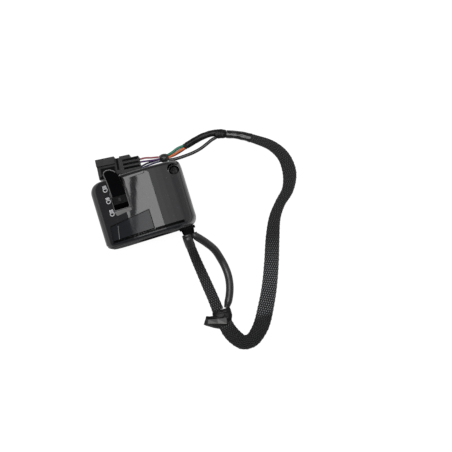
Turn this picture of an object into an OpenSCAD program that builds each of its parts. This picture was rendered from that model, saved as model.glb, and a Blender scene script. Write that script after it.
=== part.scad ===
// Left-hand handlebar switch cluster with a thumb rocker and its wiring harness.
// Origin on the handlebar's axis at the middle of the housing, +X along the bar towards the inboard end,
// +Y up when mounted, +Z out of the switch face towards the rider. It lies on its back here.

/* [Housing] */
// Length of the housing along the bar
body_l = 45.5; // [40:0.5:52]
// Width of the housing across the bar
body_w = 64; // [60:0.5:72]
// Height of the face above the bar's axis
crown_h = 28; // [27:0.25:29]
// Depth of the rear shell below the bar's axis
back_h = 18; // [17:0.25:22]
// Wall thickness of both shells
wall = 2.2; // [1.8:0.1:2.6]
// Radius of the barrel face across the bar
crown_r = 60; // [56:1:80]
// Radius of the face's lower long edge
lower_edge_r = 9; // [6:0.5:10]
// Radius of the face's upper long edge
upper_edge_r = 14; // [10:0.5:15]
// Radius of the rear shell's long edges
back_edge_r = 11; // [6:0.5:12]
// Fillet round the rim of the end faces
end_fillet = 2.6; // [1:0.2:3]
// Plan radius of the two large corners
big_corner_r = 7; // [4:0.5:8]
// Plan radius of the two small corners
small_corner_r = 3.4; // [2:0.2:4]
// Radius of the handlebar
bar_r = 11.1; // [10.9:0.1:11.3]
// Length of each end wall that grips the bar
grip_l = 5; // [4:0.25:6]
// Thickness of the rear shell's bar saddle
saddle_t = 2; // [1.6:0.1:2.4]
// Width of the groove across the face near the inboard end
groove_w = 0.9; // [0.6:0.1:1.2]
// Depth of that groove
groove_d = 0.7; // [0.4:0.1:0.9]
// Land between that groove and the inboard end
groove_land = 1.6; // [1.4:0.1:2]
// Thickness of the ledge that carries the contact base
ledge_t = 1.6; // [1.2:0.1:2]
// Width of the pry notches in the split
pry_w = 2; // [1.6:0.1:2.6]
// Depth of the pry notches
pry_d = 1.2; // [0.8:0.1:1.4]
// Height of the pry notches over both shells
pry_h = 1.8; // [1.2:0.1:2.4]

/* [Side panel] */
// Length of the sunk panel along the bar
panel_l = 12.6; // [10:0.2:13]
// Lower end of the panel across the bar
panel_lower = -25; // [-26:0.5:-23]
// Upper end of the panel across the bar
panel_upper = 4; // [0:0.5:8]
// How far the panel lies below the face
panel_sink = 0.7; // [0.4:0.1:0.9]
// Thickness of the panel
panel_t = 1.2; // [1:0.1:1.4]
// Gap round the panel
panel_gap = 0.15; // [0.1:0.05:0.25]
// Distance of the fine ridge from the panel's lower end
ridge_in = 5.5; // [3:0.5:9]
// Width of the fine ridge
ridge_w = 0.6; // [0.4:0.1:1]
// Height of the fine ridge
ridge_h = 0.4; // [0.2:0.1:0.4]

/* [Rocker] */
// Width of the thumb rocker
rocker_w = 9.2; // [9:0.2:10]
// Whole swing of the rocker in degrees
rocker_swing = 24; // [20:1:26]
// Place of the rocker's pivot along the bar
pivot_x = -10.4; // [-10.6:0.1:-9.6]
// Place of the rocker's pivot across the bar
pivot_y = -12.9; // [-13.4:0.1:-12]
// Height of the rocker's pivot above the bar's axis
pivot_z = 23; // [22.8:0.1:23.4]
// Radius of the pivot pin
pin_r = 1.25; // [1:0.05:1.4]
// Height of the rocker's crease above its pivot
crease_h = 7.6; // [7.4:0.1:8.2]
// Radius of the rocker's round inboard end about its pivot
rocker_end_r = 10; // [9.4:0.1:10.4]
// Length of the raised tongue from the crease
tongue_l = 19.2; // [16:0.2:20]
// Thickness of the tongue
tongue_t = 2.8; // [2.4:0.1:3]
// Depth of the thumb dish in the tongue
dish_d = 0.8; // [0.4:0.1:1]
// Rim round the thumb dish
dish_rim = 0.8; // [0.6:0.1:1.4]
// Length of the tongue's rounded upper corner
tip_round_l = 9; // [4:0.5:10]
// Width of the tongue's rounded upper corner
tip_round_w = 6.2; // [4:0.2:6.6]
// Radius of the tongue's lower corner
tip_corner_r = 2.4; // [1.6:0.2:2.6]
// How far the tongue widens towards its lower corner
tip_flare = 0.5; // [0.2:0.1:0.6]
// Radius of the rocker's hub
hub_r = 3.2; // [2.6:0.1:3.4]
// Thickness of the rocker's arm
arm_t = 2; // [1.6:0.1:2.2]
// Width of the rocker's arm along the pin
arm_w = 4; // [3:0.2:5]
// Distance of the drive peg below the pivot
peg_drop = 6.5; // [6.3:0.1:6.8]
// Radius of the drive peg
peg_r = 1.5; // [1.2:0.1:1.6]
// Gap round the rocker in its collar
rocker_gap = 0.3; // [0.25:0.05:0.4]
// Reach of the rocker's well past the pivot towards the grip end
well_reach = 10.6; // [10.4:0.1:10.8]
// Wall of the well inside the housing, which holds the pivot pin
well_wall = 1.6; // [1.4:0.1:1.8]
// Wall of the collar round the rocker
collar_wall = 0.7; // [0.7:0.1:1.1]
// Height of the collar's rim above the crease of the pressed rocker
collar_rise = 1.2; // [0.6:0.1:2]
// Length of the collar's sloped inboard end
collar_slope = 3.4; // [2:0.2:4]
// Plan radius of the collar's corners
collar_corner_r = 2.2; // [1.6:0.2:2.6]

/* [Contact set] */
// Height of the contact base's top above the bar's axis
base_top = 12; // [11.8:0.05:12.1]
// Thickness of the contact base
base_t = 1.6; // [1.4:0.1:1.7]
// Width of the contact base
base_w = 12; // [11:0.2:12.6]
// How far the base reaches past the rocker's round end
base_reach = 11.5; // [10.5:0.5:13]
// How far the base reaches past the carriage towards the grip end
base_tail = 1.4; // [1.2:0.1:2]
// Length of the contact carriage
carriage_l = 10; // [9:0.2:10.4]
// Width of the contact carriage
carriage_w = 6; // [5.4:0.2:6.4]
// Height of the carriage above the base
carriage_h = 6.2; // [6:0.1:6.4]
// Height of the guide rails on the base
rail_h = 2.5; // [1.5:0.1:3]
// Thickness of the guide rails
rail_t = 1.2; // [0.8:0.1:1.4]
// Thickness of the fixed contacts
contact_t = 0.3; // [0.2:0.05:0.3]
// Thickness of the moving contact
blade_t = 0.5; // [0.4:0.1:0.7]
// Running gap between the moving and the fixed pieces
run_gap = 0.3; // [0.25:0.05:0.35]
// Radius of the detent ball
ball_r = 1.2; // [1:0.05:1.25]
// Wire diameter of the detent spring
spring_wire = 0.35; // [0.25:0.05:0.35]
// Turns of the detent spring
spring_turns = 3; // [2:1:3]
// Radius of the base screws
base_screw_r = 1.1; // [0.9:0.1:1.3]
// Radius of the base screws' heads
base_head_r = 2.1; // [1.8:0.1:2.2]
// Height of the base screws' heads
base_head_h = 1.3; // [1:0.1:1.4]
// Radius of the posts that carry the base
post_r = 2.3; // [2.1:0.1:2.5]

/* [Clamp screws] */
// Radius of the clamp screws
screw_r = 2.5; // [2:0.1:2.6]
// Radius of the screws' heads
head_r = 3.6; // [3.2:0.1:3.7]
// Height of the screws' heads
head_h = 3; // [2.4:0.2:3.4]
// Radius of the screw recesses
recess_r = 3.9; // [3.8:0.1:4]
// Distance of the head's seat from the split between the shells
head_seat = 8; // [7:0.5:9]
// Reach of the screws past the split
screw_reach = 10.5; // [9.5:0.5:11]
// Wall of the bosses round the recesses
boss_wall = 1.3; // [1:0.1:1.6]
// Distance of the screws from the long side of the housing
screw_in_y = 5.2; // [5:0.1:5.6]
// Distance of the face's screw from the grip end
screw_in_x = 6; // [5.8:0.1:7]
// Radius of the threaded inserts
insert_r = 3.3; // [3:0.1:3.4]
// Length of the threaded inserts
insert_l = 8; // [6:0.5:8.5]

/* [Grommet] */
// Width of the grommet's flanges
grommet_w = 11; // [10:0.5:12]
// Height of the grommet's flanges
grommet_h = 9; // [8:0.5:10]
// How far the flanges stand over the neck
grommet_lip = 1; // [0.8:0.1:1.4]
// Thickness of the grommet's flanges
grommet_flange = 1.6; // [1.2:0.1:2]
// Length of the grommet's snout
snout_l = 3.4; // [2.4:0.2:5]
// Share of the snout's width left at its end
snout_taper = 0.88; // [0.8:0.02:1]
// Corner radius of the grommet's flanges
grommet_r = 1; // [0.6:0.1:1.4]
// Distance of the grommet's middle from the upper long side
grommet_in = 8.3; // [8.2:0.1:9]

/* [Harness] */
// Diameter of the smooth side tube
tube_d = 4; // [3.6:0.1:4]
// Diameter of the thin upper cable
cable_d = 2.4; // [2:0.1:2.4]
// Diameter of the coloured leads in the tail sleeve
lead_d = 1.7; // [1.4:0.1:1.7]
// Diameter of the leads at the plug
plug_lead_d = 1.3; // [1.1:0.1:1.5]
// Diameter of the inner leads' bundle
inner_d = 5; // [4:0.25:5.5]

/* [Plug] */
// Length of the plug's mating shell
plug_l = 13.5; // [12:0.5:13.5]
// Width of the plug's mating shell
plug_w = 14; // [12.5:0.25:14.5]
// Height of the plug's mating shell
plug_h = 8.6; // [8:0.2:9]
// Height of the bridge on top of the shell
bridge_h = 3; // [2:0.2:4]
// Width of the bridge on top of the shell
bridge_w = 5; // [4:0.2:6]
// Wall of the plug's shell
plug_wall = 1.4; // [1.1:0.1:1.6]
// Depth of the plug's socket
socket_d = 9.6; // [9:0.2:10]
// Length of the neck between shell and ribbed rear
neck_l = 3.5; // [2:0.25:4]
// Length of the wide stretch of the ribbed rear
rear_wide_l = 7.5; // [6:0.25:8]
// Length of the narrow stretch of the ribbed rear
rear_slim_l = 6; // [4:0.25:6]
// Height of the ribbed rear
rear_h = 11; // [10:0.25:11.5]
// Width of the grooves between the ribs
rib_groove_w = 1.1; // [0.8:0.1:1.3]
// Depth of the grooves between the ribs
rib_groove_d = 1.6; // [1:0.1:2.2]
// Length of the terminal pins that shows
pin_show = 4.4; // [3.6:0.2:4.6]
// Thickness of the terminal pins
blade_pin_t = 0.8; // [0.6:0.1:1]
// Thickness of the plug's latch
latch_t = 1.2; // [1:0.1:1.4]

/* [Hidden] */
$fn = 32;
eps = 0.01;
seat_gap = 0.05;
pry_ins = [8, 23.4];
far = 100;
crown_steps = 16;
edge_steps = 9;
corner_steps = 7;
curve_steps = 8;
panel_margin = 0.9;
panel_skew = 1.8;
foot_skew = 0.3;
foot_reach = 1.4;
ridge_lean = 1.8;
backing_t = 1.4;
post_dy = 3.2;
contact_share = 0.34;
rocker_top_l = 1.8;
press_gap = 0.02;
screw_gap = 0.2;
rib_t = 1.8;
screw_short = 0.5;
drive_w = 1;
drive_d = 1.2;
contact_y = 1.8;
contact_w = 1.2;
blade_w = 1;
blade_in = 0.2;
ball_share = 0.85;
spring_roof = 0.8;
route_steps = 2;

// Places that follow from the sizes above
half_l = body_l / 2;
half_w = body_w / 2;
floor_z = -back_h;
crown_cz = crown_h - crown_r;
half_swing = rocker_swing / 2;
crease_top = pivot_z + crease_h * cos(half_swing);
slot_w = rocker_w + 2 * rocker_gap;
collar_w = slot_w + 2 * collar_wall;
pin_l = slot_w + 1.5 * well_wall;
collar_top = crease_top + collar_rise;
well_hi_x = pivot_x + rocker_end_r + rocker_gap;
well_lo_x = pivot_x - well_reach;
well_z = base_top + carriage_h + 2 * run_gap;
panel_hi_x = half_l - groove_land - groove_w - panel_margin;
panel_lo_x = panel_hi_x - panel_l;
panel_from = panel_lo_x - panel_skew - 1;
panel_to = panel_hi_x + foot_skew + 1;
upper_screw = [-half_l + screw_in_x, half_w - screw_in_y];
lower_screw = [0, -half_w + screw_in_y];
boss_r = recess_r + boss_wall;
base_hi_x = well_hi_x + base_reach;
post_x = well_hi_x + collar_wall + post_r;
post_ys = [pivot_y - post_dy, pivot_y + post_dy];
carriage_z = base_top + contact_t + 2 * run_gap;
carriage_x = pivot_x - peg_drop * sin(half_swing);
carriage_top = base_top + carriage_h;
base_lo_x = carriage_x - carriage_l / 2 - base_tail;
ball_x = carriage_x + contact_share * carriage_l;
blade_x = carriage_x - contact_share * carriage_l;
ball_z = carriage_z + run_gap;
spring_lo = ball_z + ball_r + seat_gap;
spring_hi = carriage_top - spring_roof;
grommet_y = half_w - grommet_in;
grommet_face = half_l + grommet_flange + snout_l;

// Fillet depth at a distance t from an end, for a fillet of radius r
function fillet(r, t) = t < r ? r - sqrt(r * r - (r - t) * (r - t)) : 0;

// Points on an arc about [y, z]
function arc(y, z, r, a0, a1, n) = [for (i = [0:n]) [y + r * cos(a0 + (a1 - a0) * i / n),
    z + r * sin(a0 + (a1 - a0) * i / n)]];

// Height of the centre of a long edge's arc that is tangent to the crown
function edge_cz(y, r, it) = crown_cz + sqrt(pow(crown_r - it - r, 2) - y * y);

// Outline of the front half across the bar, drawn in by il and ir at its sides and by it at its crown
function front_outline(il, ir, it) =
    let (
        rl = max(lower_edge_r - min(il, it), 0.6),
        rr = max(upper_edge_r - min(ir, it), 0.6),
        yl = -half_w + il + rl,
        yr = half_w - ir - rr,
        zl = edge_cz(yl, rl, it),
        zr = edge_cz(yr, rr, it),
        al = atan2(zl - crown_cz, yl),
        ar = atan2(zr - crown_cz, yr),
        crown = arc(0, crown_cz, crown_r - it, al, ar, crown_steps)
    )
    concat([[-half_w + il, 0]], arc(yl, zl, rl, 180, al, edge_steps),
        [for (i = [1:crown_steps - 1]) crown[i]],
        arc(yr, zr, rr, ar, 0, edge_steps), [[half_w - ir, 0]]);

// Outline of the rear half across the bar, drawn in by il and ir at its sides and by ib at its back
function rear_outline(il, ir, ib) =
    let (
        rl = max(back_edge_r - min(il, ib), 0.6),
        rr = max(back_edge_r - min(ir, ib), 0.6)
    )
    concat([[half_w - ir, 0]], arc(half_w - ir - rr, floor_z + ib + rr, rr, 0, -90, edge_steps),
        arc(-half_w + il + rl, floor_z + ib + rl, rl, -90, -180, edge_steps), [[-half_w + il, 0]]);

// Stations along the bar, closer together near the ends, where the corners are rounded
ramp = [for (k = [0:corner_steps]) big_corner_r * (1 - cos(90 * k / corner_steps))];
stations = concat([for (t = ramp) -half_l + t], [for (k = [corner_steps:-1:0]) half_l - ramp[k]]);
function grip_end(x) = x + half_l;
function inboard_end(x) = half_l - x;
function lower_draw(x) = fillet(big_corner_r, grip_end(x)) + fillet(small_corner_r, inboard_end(x));
function upper_draw(x) = fillet(small_corner_r, grip_end(x)) + fillet(big_corner_r, inboard_end(x));
function rim_draw(x) = fillet(end_fillet, grip_end(x)) + fillet(end_fillet, inboard_end(x));

// Solid through a row of rings that have as many points each
module loft(rings) {
    n = len(rings[0]);
    m = len(rings);
    polyhedron(
        points = [for (ring = rings) for (p = ring) p],
        faces = concat(
            [[for (i = [n - 1:-1:0]) i]],
            [for (j = [0:m - 2]) for (i = [0:n - 1])
                let (a = j * n + i, b = j * n + (i + 1) % n) each [[a, b, b + n], [a, b + n, a + n]]],
            [[for (i = [0:n - 1]) (m - 1) * n + i]]),
        convexity = 6);
}

// Extrusion along the bar of an outline across it
module along_bar(outline, x0, x1) {
    translate([x0, 0, 0]) rotate([90, 0, 90]) linear_extrude(x1 - x0) polygon(outline);
}

// Extrusion across the bar of an outline seen from the side
module across_bar(outline, y, w) {
    translate([0, y + w / 2, 0]) rotate([90, 0, 0]) linear_extrude(w) polygon(outline);
}

// Front half drawn in evenly
module front_core(inset, x0, x1) {
    along_bar(front_outline(inset, inset, inset), x0, x1);
}

// Block between two corners
module block(lo, hi) {
    translate(lo) cube(hi - lo);
}

// Tube swept along points [x, y, z, width, thickness], with an oval section of as many sides
function unit(v) = v / norm(v);
function heading(path, i) =
    unit([for (k = [0:2]) path[min(i + 1, len(path) - 1)][k] - path[max(i - 1, 0)][k]]);
function level_side(along) =
    let (side = cross([0, 0, 1], along)) norm(side) < eps ? [-1, 0, 0] : unit(side);
function oval_ring(path, i, sides) =
    let (
        p = path[i],
        along = heading(path, i),
        side = level_side(along),
        rise = cross(along, side)
    )
    [for (k = [0:sides - 1])
        let (a = -360 * (k + 0.5) / sides)
        [p[0], p[1], p[2]] + side * (p[3] / 2 * cos(a)) + rise * (p[4] / 2 * sin(a))];
module tube(path, sides = 8) {
    loft([for (i = [0:len(path) - 1]) oval_ring(path, i, sides)]);
}
// Route of even diameter
function even(route, d) = [for (p = route) [p[0], p[1], p[2], d, d]];
// Smooth curve through a route's points
function knot(route, i) =
    let (last = len(route) - 1)
    i < 0 ? 2 * route[0] - route[1] : i > last ? 2 * route[last] - route[last - 1] : route[i];
function between(a, b, c, d, t) =
    b + t * (c - a + t * (2 * a - 5 * b + 4 * c - d + t * (3 * b - a - 3 * c + d))) / 2;
function smooth(route) = concat(
    [for (i = [0:len(route) - 2]) for (k = [0:route_steps - 1])
        between(knot(route, i - 1), route[i], route[i + 1], knot(route, i + 2), k / route_steps)],
    [route[len(route) - 1]]);

// Routes of the harness
sleeve_route = [
    [grommet_face, 22, 0, 6.4, 5], [29.6, 22, 0, 6.4, 5], [32, 22, 0, 6.4, 5], [39, 22.4, -4.5, 6.6, 5],
    [47, 23, -11.3, 7, 4.8],
    [56, 24, -15.2, 7.4, 4.6], [66, 25.2, -15.7, 7.8, 4.4], [76, 26.4, -15.7, 8, 4.4],
    [85, 27.2, -15.7, 8.4, 4.4]];
tube_route = [
    [grommet_face, 27.4, 0], [28.8, 27.4, 0], [30, 27.4, 0], [36.5, 33, -4.8], [43, 37.4, -11],
    [50, 39.6, -14.8],
    [57, 41, -15.9], [64, 41.3, -15.9], [71, 40.2, -15.9], [78, 37.6, -15.9], [85, 33.6, -15.9]];
tape_route = [[85, 29.4, -15.1, 14, 5.4], [89.5, 29.4, -15.1, 13.4, 5.4], [94, 29.6, -15.2, 11.6, 5.2]];
flag_route = [[87.2, 15.4, -16.4, 4.6, 1], [89.6, 18.4, -15.6, 7.2, 1.1], [92.6, 22, -14.6, 7, 1.1],
    [95.4, 25.6, -13.1, 4.6, 1]];
main_route = [
    [94, 29.5, -15.6, 10.2, 4.6], [97, 29.8, -15.6, 10.6, 4.6], [101.4, 30.9, -15.6, 11, 4.6],
    [106.6, 33.4, -15.6, 11, 4.6],
    [111.4, 37.4, -15.6, 10.4, 4.6], [112.2, 42.4, -15.6, 10.4, 4.6], [110.4, 46.8, -15.6, 10.8, 4.6],
    [104, 53.4, -15.6, 11.6, 4.6], [95, 59, -15.6, 11.6, 4.6], [80.3, 66.6, -15.6, 11, 4.6],
    [63.7, 73.4, -15.6, 10.6, 4.6], [47, 79.4, -15.6, 10, 4.8], [34, 85, -15.4, 8.4, 5.2],
    [25, 91.8, -15.2, 7.4, 5.6], [17, 100, -15.4, 8.4, 5.2], [6, 104.6, -15.6, 10, 4.8],
    [-6, 104, -15.6, 9, 4.8],
    [-16, 98.2, -15.6, 7.6, 4.8], [-23.5, 88.8, -15.6, 6.4, 4.8], [-29.5, 79.2, -15.6, 5.6, 4.6],
    [-33.6, 69.6, -15.7, 5.2, 4.4]];
fork_route = [[-33.6, 69.6, -15.3, 7.2, 5.2], [-35, 65.6, -15.3, 7.2, 5.2], [-35.8, 62, -15.4, 7, 5]];
tail_route = [[-36.8, 62, -15.9, 4.2, 4], [-37.2, 56, -15.9, 4.2, 4], [-36.4, 49.6, -15.9, 4.2, 4],
    [-34.9, 43.4, -15.9, 4.2, 4], [-33.5, 38, -15.9, 4.4, 4]];
cable_route = [[-33.6, 62, -16.7], [-32.6, 58, -16.7], [-30.7, 53.4, -16.7], [-29, 48.6, -16.7],
    [-27.9, 43.4, -16.7], [-27.4, 38, -16.7], [-27.2, 33, -16.7], [-27.3, 28.6, -16.7], [-27.7, 24.8, -16.7]];
green_route = [[-34.5, 37.9, -15], [-33.9, 33.2, -14.9], [-32.5, 29.4, -14.8], [-31.3, 25.3, -14.7]];
orange_route = [[-32.5, 38.1, -15], [-31.6, 34, -14.9], [-30.4, 30, -14.8], [-29.4, 25.1, -14.7]];
white_route = [[-34.2, 37.9, -17.1], [-33, 33.4, -17.1], [-32, 29.6, -17.1], [-31.5, 25.3, -16.9]];
violet_route = [[-32.4, 38.1, -17.1], [-31.1, 33.8, -17.1], [-30.2, 29.8, -17.1], [-29.7, 25.1, -16.9]];
bundle_route = [[-29.6, 25.2, -15.4, 5.8, 4.8], [-30, 22, -15.1, 6.2, 5.6], [-30.4, 18.9, -15.4, 5.4, 4.8]];
pink_route = [[-31.8, 18.7, -14.9], [-32.7, 13.8, -14.3], [-33.8, 9.4, -13.6], [-34, 5.4, -13]];
navy_route = [[-30.2, 18.9, -16.8], [-30.2, 13.6, -16.6], [-29.8, 9, -15], [-28.8, 5, -13]];
blue_route = [[-28.6, 19, -15.4], [-28.6, 14.6, -15], [-28.1, 10, -13.6], [-27.3, 4.9, -12]];
purple_route = [[-30.2, 18.8, -13.9], [-30.6, 14, -13.4], [-31.2, 9.8, -12.2], [-31.7, 5.3, -10.6]];
leads_x = base_hi_x - inner_d / 2 - run_gap;
leads_route = [
    [leads_x, pivot_y - 1, base_top], [leads_x, pivot_y - 1, base_top + 1.8],
    [leads_x, pivot_y - 1, base_top + 3.6],
    [leads_x, pivot_y + 3, base_top + 7], [leads_x, 0, base_top + 8], [leads_x, 8.5, base_top + 5.4],
    [leads_x, 15.4, 11], [leads_x, 20.4, 4.6], [half_l - grip_l - grommet_flange - 3.4, grommet_y, 0],
    [half_l - grip_l - grommet_flange - 1.7, grommet_y, 0],
    [half_l - grip_l - grommet_flange, grommet_y, 0]];

// Plug: local u runs from the mating end to the wire end, v towards the housing
plug_at = [-41.7, -24.8];
plug_turn = 5;
module on_plug() {
    translate([plug_at[0], plug_at[1], floor_z]) rotate(-plug_turn) children();
}

// Front shell with the barrel face, the rocker's collar, the panel's seat, bosses and posts
module front_outer() {
    loft([for (x = stations)
        [for (p = front_outline(lower_draw(x), upper_draw(x), rim_draw(x))) [x, p[0], p[1]]]]);
}
module rounded_plan(lo, hi, r) {
    translate(lo) offset(r = r, $fn = 24) offset(delta = -r) square(hi - lo);
}
module collar() {
    root_z = crown_h - 2 * wall;
    foot_x = well_hi_x + collar_wall + collar_slope;
    intersection() {
        across_bar([
            [foot_x, root_z], [well_hi_x + collar_wall, collar_top], [pivot_x - rocker_top_l, collar_top],
            [well_lo_x + seat_gap, crown_h - wall], [well_lo_x - collar_wall, root_z]], pivot_y, collar_w);
        linear_extrude(far) rounded_plan([well_lo_x - collar_wall, pivot_y - collar_w / 2],
            [foot_x, pivot_y + collar_w / 2], collar_corner_r);
    }
}
module rocker_slot() {
    block([well_lo_x, pivot_y - slot_w / 2, well_z - 1], [well_hi_x, pivot_y + slot_w / 2, far]);
}
module panel_box(grow) {
    translate([0, 0, eps]) linear_extrude(far) offset(delta = grow) polygon([
        [panel_lo_x + panel_skew, panel_lower], [panel_lo_x - panel_skew, panel_upper],
        [panel_hi_x - foot_skew, panel_upper], [panel_hi_x + foot_skew, panel_lower - foot_reach]]);
}
module panel_seat() {
    difference() {
        panel_box(0);
        front_core(panel_sink + panel_t, panel_from, panel_to);
    }
}
module panel_backing() {
    deep = panel_sink + panel_t + backing_t;
    intersection() {
        panel_box(backing_t);
        difference() {
            front_core(wall / 2, panel_from - backing_t, panel_hi_x + backing_t);
            front_core(deep, panel_from - 2 * backing_t, panel_to);
        }
    }
}
module face_groove() {
    x1 = half_l - groove_land;
    difference() {
        block([x1 - groove_w, -far, eps], [x1, far, far]);
        front_core(groove_d, x1 - groove_w - 1, x1 + 1);
    }
}
module front_ribs() {
    intersection() {
        front_core(wall / 2, -half_l + wall, half_l - wall);
        union() {
            translate([upper_screw[0], upper_screw[1], 0]) cylinder(r = boss_r, h = far);
            translate([lower_screw[0], lower_screw[1], 0]) cylinder(r = boss_r, h = screw_reach + 2);
            for (y = post_ys) translate([post_x, y, base_top]) cylinder(r = post_r, h = far);
            block([well_lo_x - wall, pivot_y - slot_w / 2 - well_wall, well_z],
                [well_hi_x + collar_wall, pivot_y + slot_w / 2 + well_wall, far]);
            block([-half_l + wall, pivot_y - base_w / 4, base_top - base_t - ledge_t],
                [base_lo_x + base_tail, pivot_y + base_w / 4, base_top - base_t]);
        }
    }
}
// Room for the contact set's grip end, which a short housing takes out of its end wall
module contact_room() {
    side = base_w / 2 + seat_gap;
    block([base_lo_x - seat_gap, pivot_y - side, base_top - base_t],
        [carriage_x, pivot_y + side, carriage_top + run_gap]);
}
module grommet_notch() {
    w = grommet_w - 2 * grommet_lip;
    h = grommet_h - 2 * grommet_lip;
    block([half_l - grip_l - 1, grommet_y - w / 2, -h / 2], [half_l + 1, grommet_y + w / 2, h / 2]);
}
module bar_bore() {
    translate([-half_l - 1, 0, 0]) rotate([0, 90, 0]) cylinder(r = bar_r, h = body_l + 2, $fn = 72);
}
module pry_notches() {
    for (inset = pry_ins) translate([half_l - inset, half_w, 0])
        cube([pry_w, 2 * pry_d, pry_h], center = true);
}
module front_shell() {
    color([0.05, 0.05, 0.055]) difference() {
        union() {
            difference() {
                front_outer();
                difference() {
                    front_core(wall, -half_l + grip_l, half_l - grip_l);
                    panel_backing();
                }
                face_groove();
            }
            front_ribs();
            collar();
        }
        panel_seat();
        rocker_slot();
        contact_room();
        bar_bore();
        grommet_notch();
        pry_notches();
        translate([pivot_x, pivot_y, pivot_z]) rotate([90, 0, 0])
            cylinder(r = pin_r + press_gap, h = pin_l + 2 * seat_gap, center = true);
        translate([upper_screw[0], upper_screw[1], head_seat]) cylinder(r = recess_r, h = far);
        translate([upper_screw[0], upper_screw[1], -1]) cylinder(r = screw_r + screw_gap, h = far);
        translate([lower_screw[0], lower_screw[1], 0]) {
            translate([0, 0, -1]) cylinder(r = screw_r + screw_gap, h = screw_reach + 2);
            translate([0, 0, screw_reach - insert_l]) cylinder(r = insert_r, h = insert_l);
        }
        for (y = post_ys) translate([post_x, y, base_top - 1]) cylinder(r = base_screw_r + press_gap, h = 6);
    }
}

// Rear shell that closes round the bar
module rear_shell() {
    color([0.05, 0.05, 0.055]) difference() {
        union() {
            difference() {
                loft([for (x = stations)
                    [for (p = rear_outline(lower_draw(x), upper_draw(x), rim_draw(x))) [x, p[0], p[1]]]]);
                difference() {
                    along_bar(rear_outline(wall, wall, wall), -half_l + grip_l, half_l - grip_l);
                    translate([-half_l, 0, 0]) rotate([0, 90, 0]) cylinder(r = bar_r + saddle_t, h = body_l);
                    for (x = [-body_l / 6, body_l / 6])
                        block([x - rib_t / 2, -bar_r, floor_z], [x + rib_t / 2, bar_r, 0]);
                }
            }
            intersection() {
                along_bar(rear_outline(wall / 2, wall / 2, wall / 2), -half_l + wall, half_l - wall);
                union() {
                    translate([upper_screw[0], upper_screw[1], -screw_reach - 2])
                        cylinder(r = boss_r, h = screw_reach + 2);
                    translate([lower_screw[0], lower_screw[1], floor_z]) cylinder(r = boss_r, h = back_h);
                }
            }
        }
        bar_bore();
        grommet_notch();
        pry_notches();
        translate([lower_screw[0], lower_screw[1], floor_z - 1])
            cylinder(r = recess_r, h = back_h - head_seat + 1);
        translate([lower_screw[0], lower_screw[1], floor_z]) cylinder(r = screw_r + screw_gap, h = far);
        translate([upper_screw[0], upper_screw[1], -screw_reach - 1])
            cylinder(r = screw_r + screw_gap, h = screw_reach + 2);
        translate([upper_screw[0], upper_screw[1], -screw_reach]) cylinder(r = insert_r, h = insert_l);
    }
}

// Sunk plate that blanks the unused switch place
module side_panel() {
    ridge_y = panel_lower + ridge_in;
    edge_y = ridge_w / 2;
    foot_y = ridge_y - ridge_lean;
    color([0.12, 0.135, 0.15]) difference() {
        intersection() {
            panel_box(-panel_gap);
            union() {
                front_core(panel_sink, panel_from, panel_to);
                intersection() {
                    front_core(panel_sink - ridge_h, panel_from, panel_to);
                    linear_extrude(far) polygon([
                        [panel_from, ridge_y + edge_y], [panel_from, ridge_y - edge_y],
                        [panel_to, foot_y - edge_y], [panel_to, foot_y + edge_y]]);
                }
            }
        }
        front_core(panel_sink + panel_t, panel_from - 1, panel_to + 1);
    }
}

// Clamp screw with its head up, seated at the head's underside
module clamp_screw() {
    shank_l = head_seat + screw_reach - screw_short;
    difference() {
        union() {
            rotate_extrude() polygon([[0, 0], [head_r, 0], [head_r, 0.6 * head_h],
                [0.8 * head_r, 0.93 * head_h], [0.5 * head_r, head_h], [0, head_h]]);
            translate([0, 0, eps - shank_l]) cylinder(r = screw_r, h = shank_l);
        }
        for (a = [0, 90]) rotate(a) translate([0, 0, head_h])
            cube([head_r, drive_w, 2 * drive_d], center = true);
    }
}
module clamp_screws() {
    color([0.35, 0.35, 0.36]) {
        translate([upper_screw[0], upper_screw[1], head_seat]) clamp_screw();
        translate([lower_screw[0], lower_screw[1], -head_seat]) rotate([180, 0, 0]) clamp_screw();
    }
}
module insert() {
    difference() {
        cylinder(r = insert_r, h = insert_l);
        translate([0, 0, -1]) cylinder(r = screw_r + press_gap, h = insert_l + 2);
    }
}
module threaded_inserts() {
    color([0.75, 0.6, 0.3]) {
        translate([upper_screw[0], upper_screw[1], -screw_reach]) insert();
        translate([lower_screw[0], lower_screw[1], screw_reach - insert_l]) insert();
    }
}

// Rubber grommet that fills the notch in the inboard end
module grommet_slab(x0, x1, w, h, r, taper = 1) {
    translate([x0, grommet_y, 0]) rotate([90, 0, 90]) linear_extrude(x1 - x0, scale = taper)
        rounded_plan([-w / 2, -h / 2], [w / 2, h / 2], r);
}
module wire_grommet() {
    neck_w = grommet_w - 2 * grommet_lip;
    neck_h = grommet_h - 2 * grommet_lip;
    x_in = half_l - grip_l;
    x_out = half_l + grommet_flange;
    color([0.04, 0.04, 0.04]) union() {
        grommet_slab(x_in - grommet_flange, x_in, grommet_w, grommet_h, grommet_r);
        grommet_slab(x_in - eps, half_l + eps, neck_w, neck_h, eps);
        grommet_slab(half_l, x_out, grommet_w, grommet_h, grommet_r);
        grommet_slab(x_out - eps, x_out + snout_l, neck_w, neck_h, 2 * grommet_r, snout_taper);
    }
}

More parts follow.
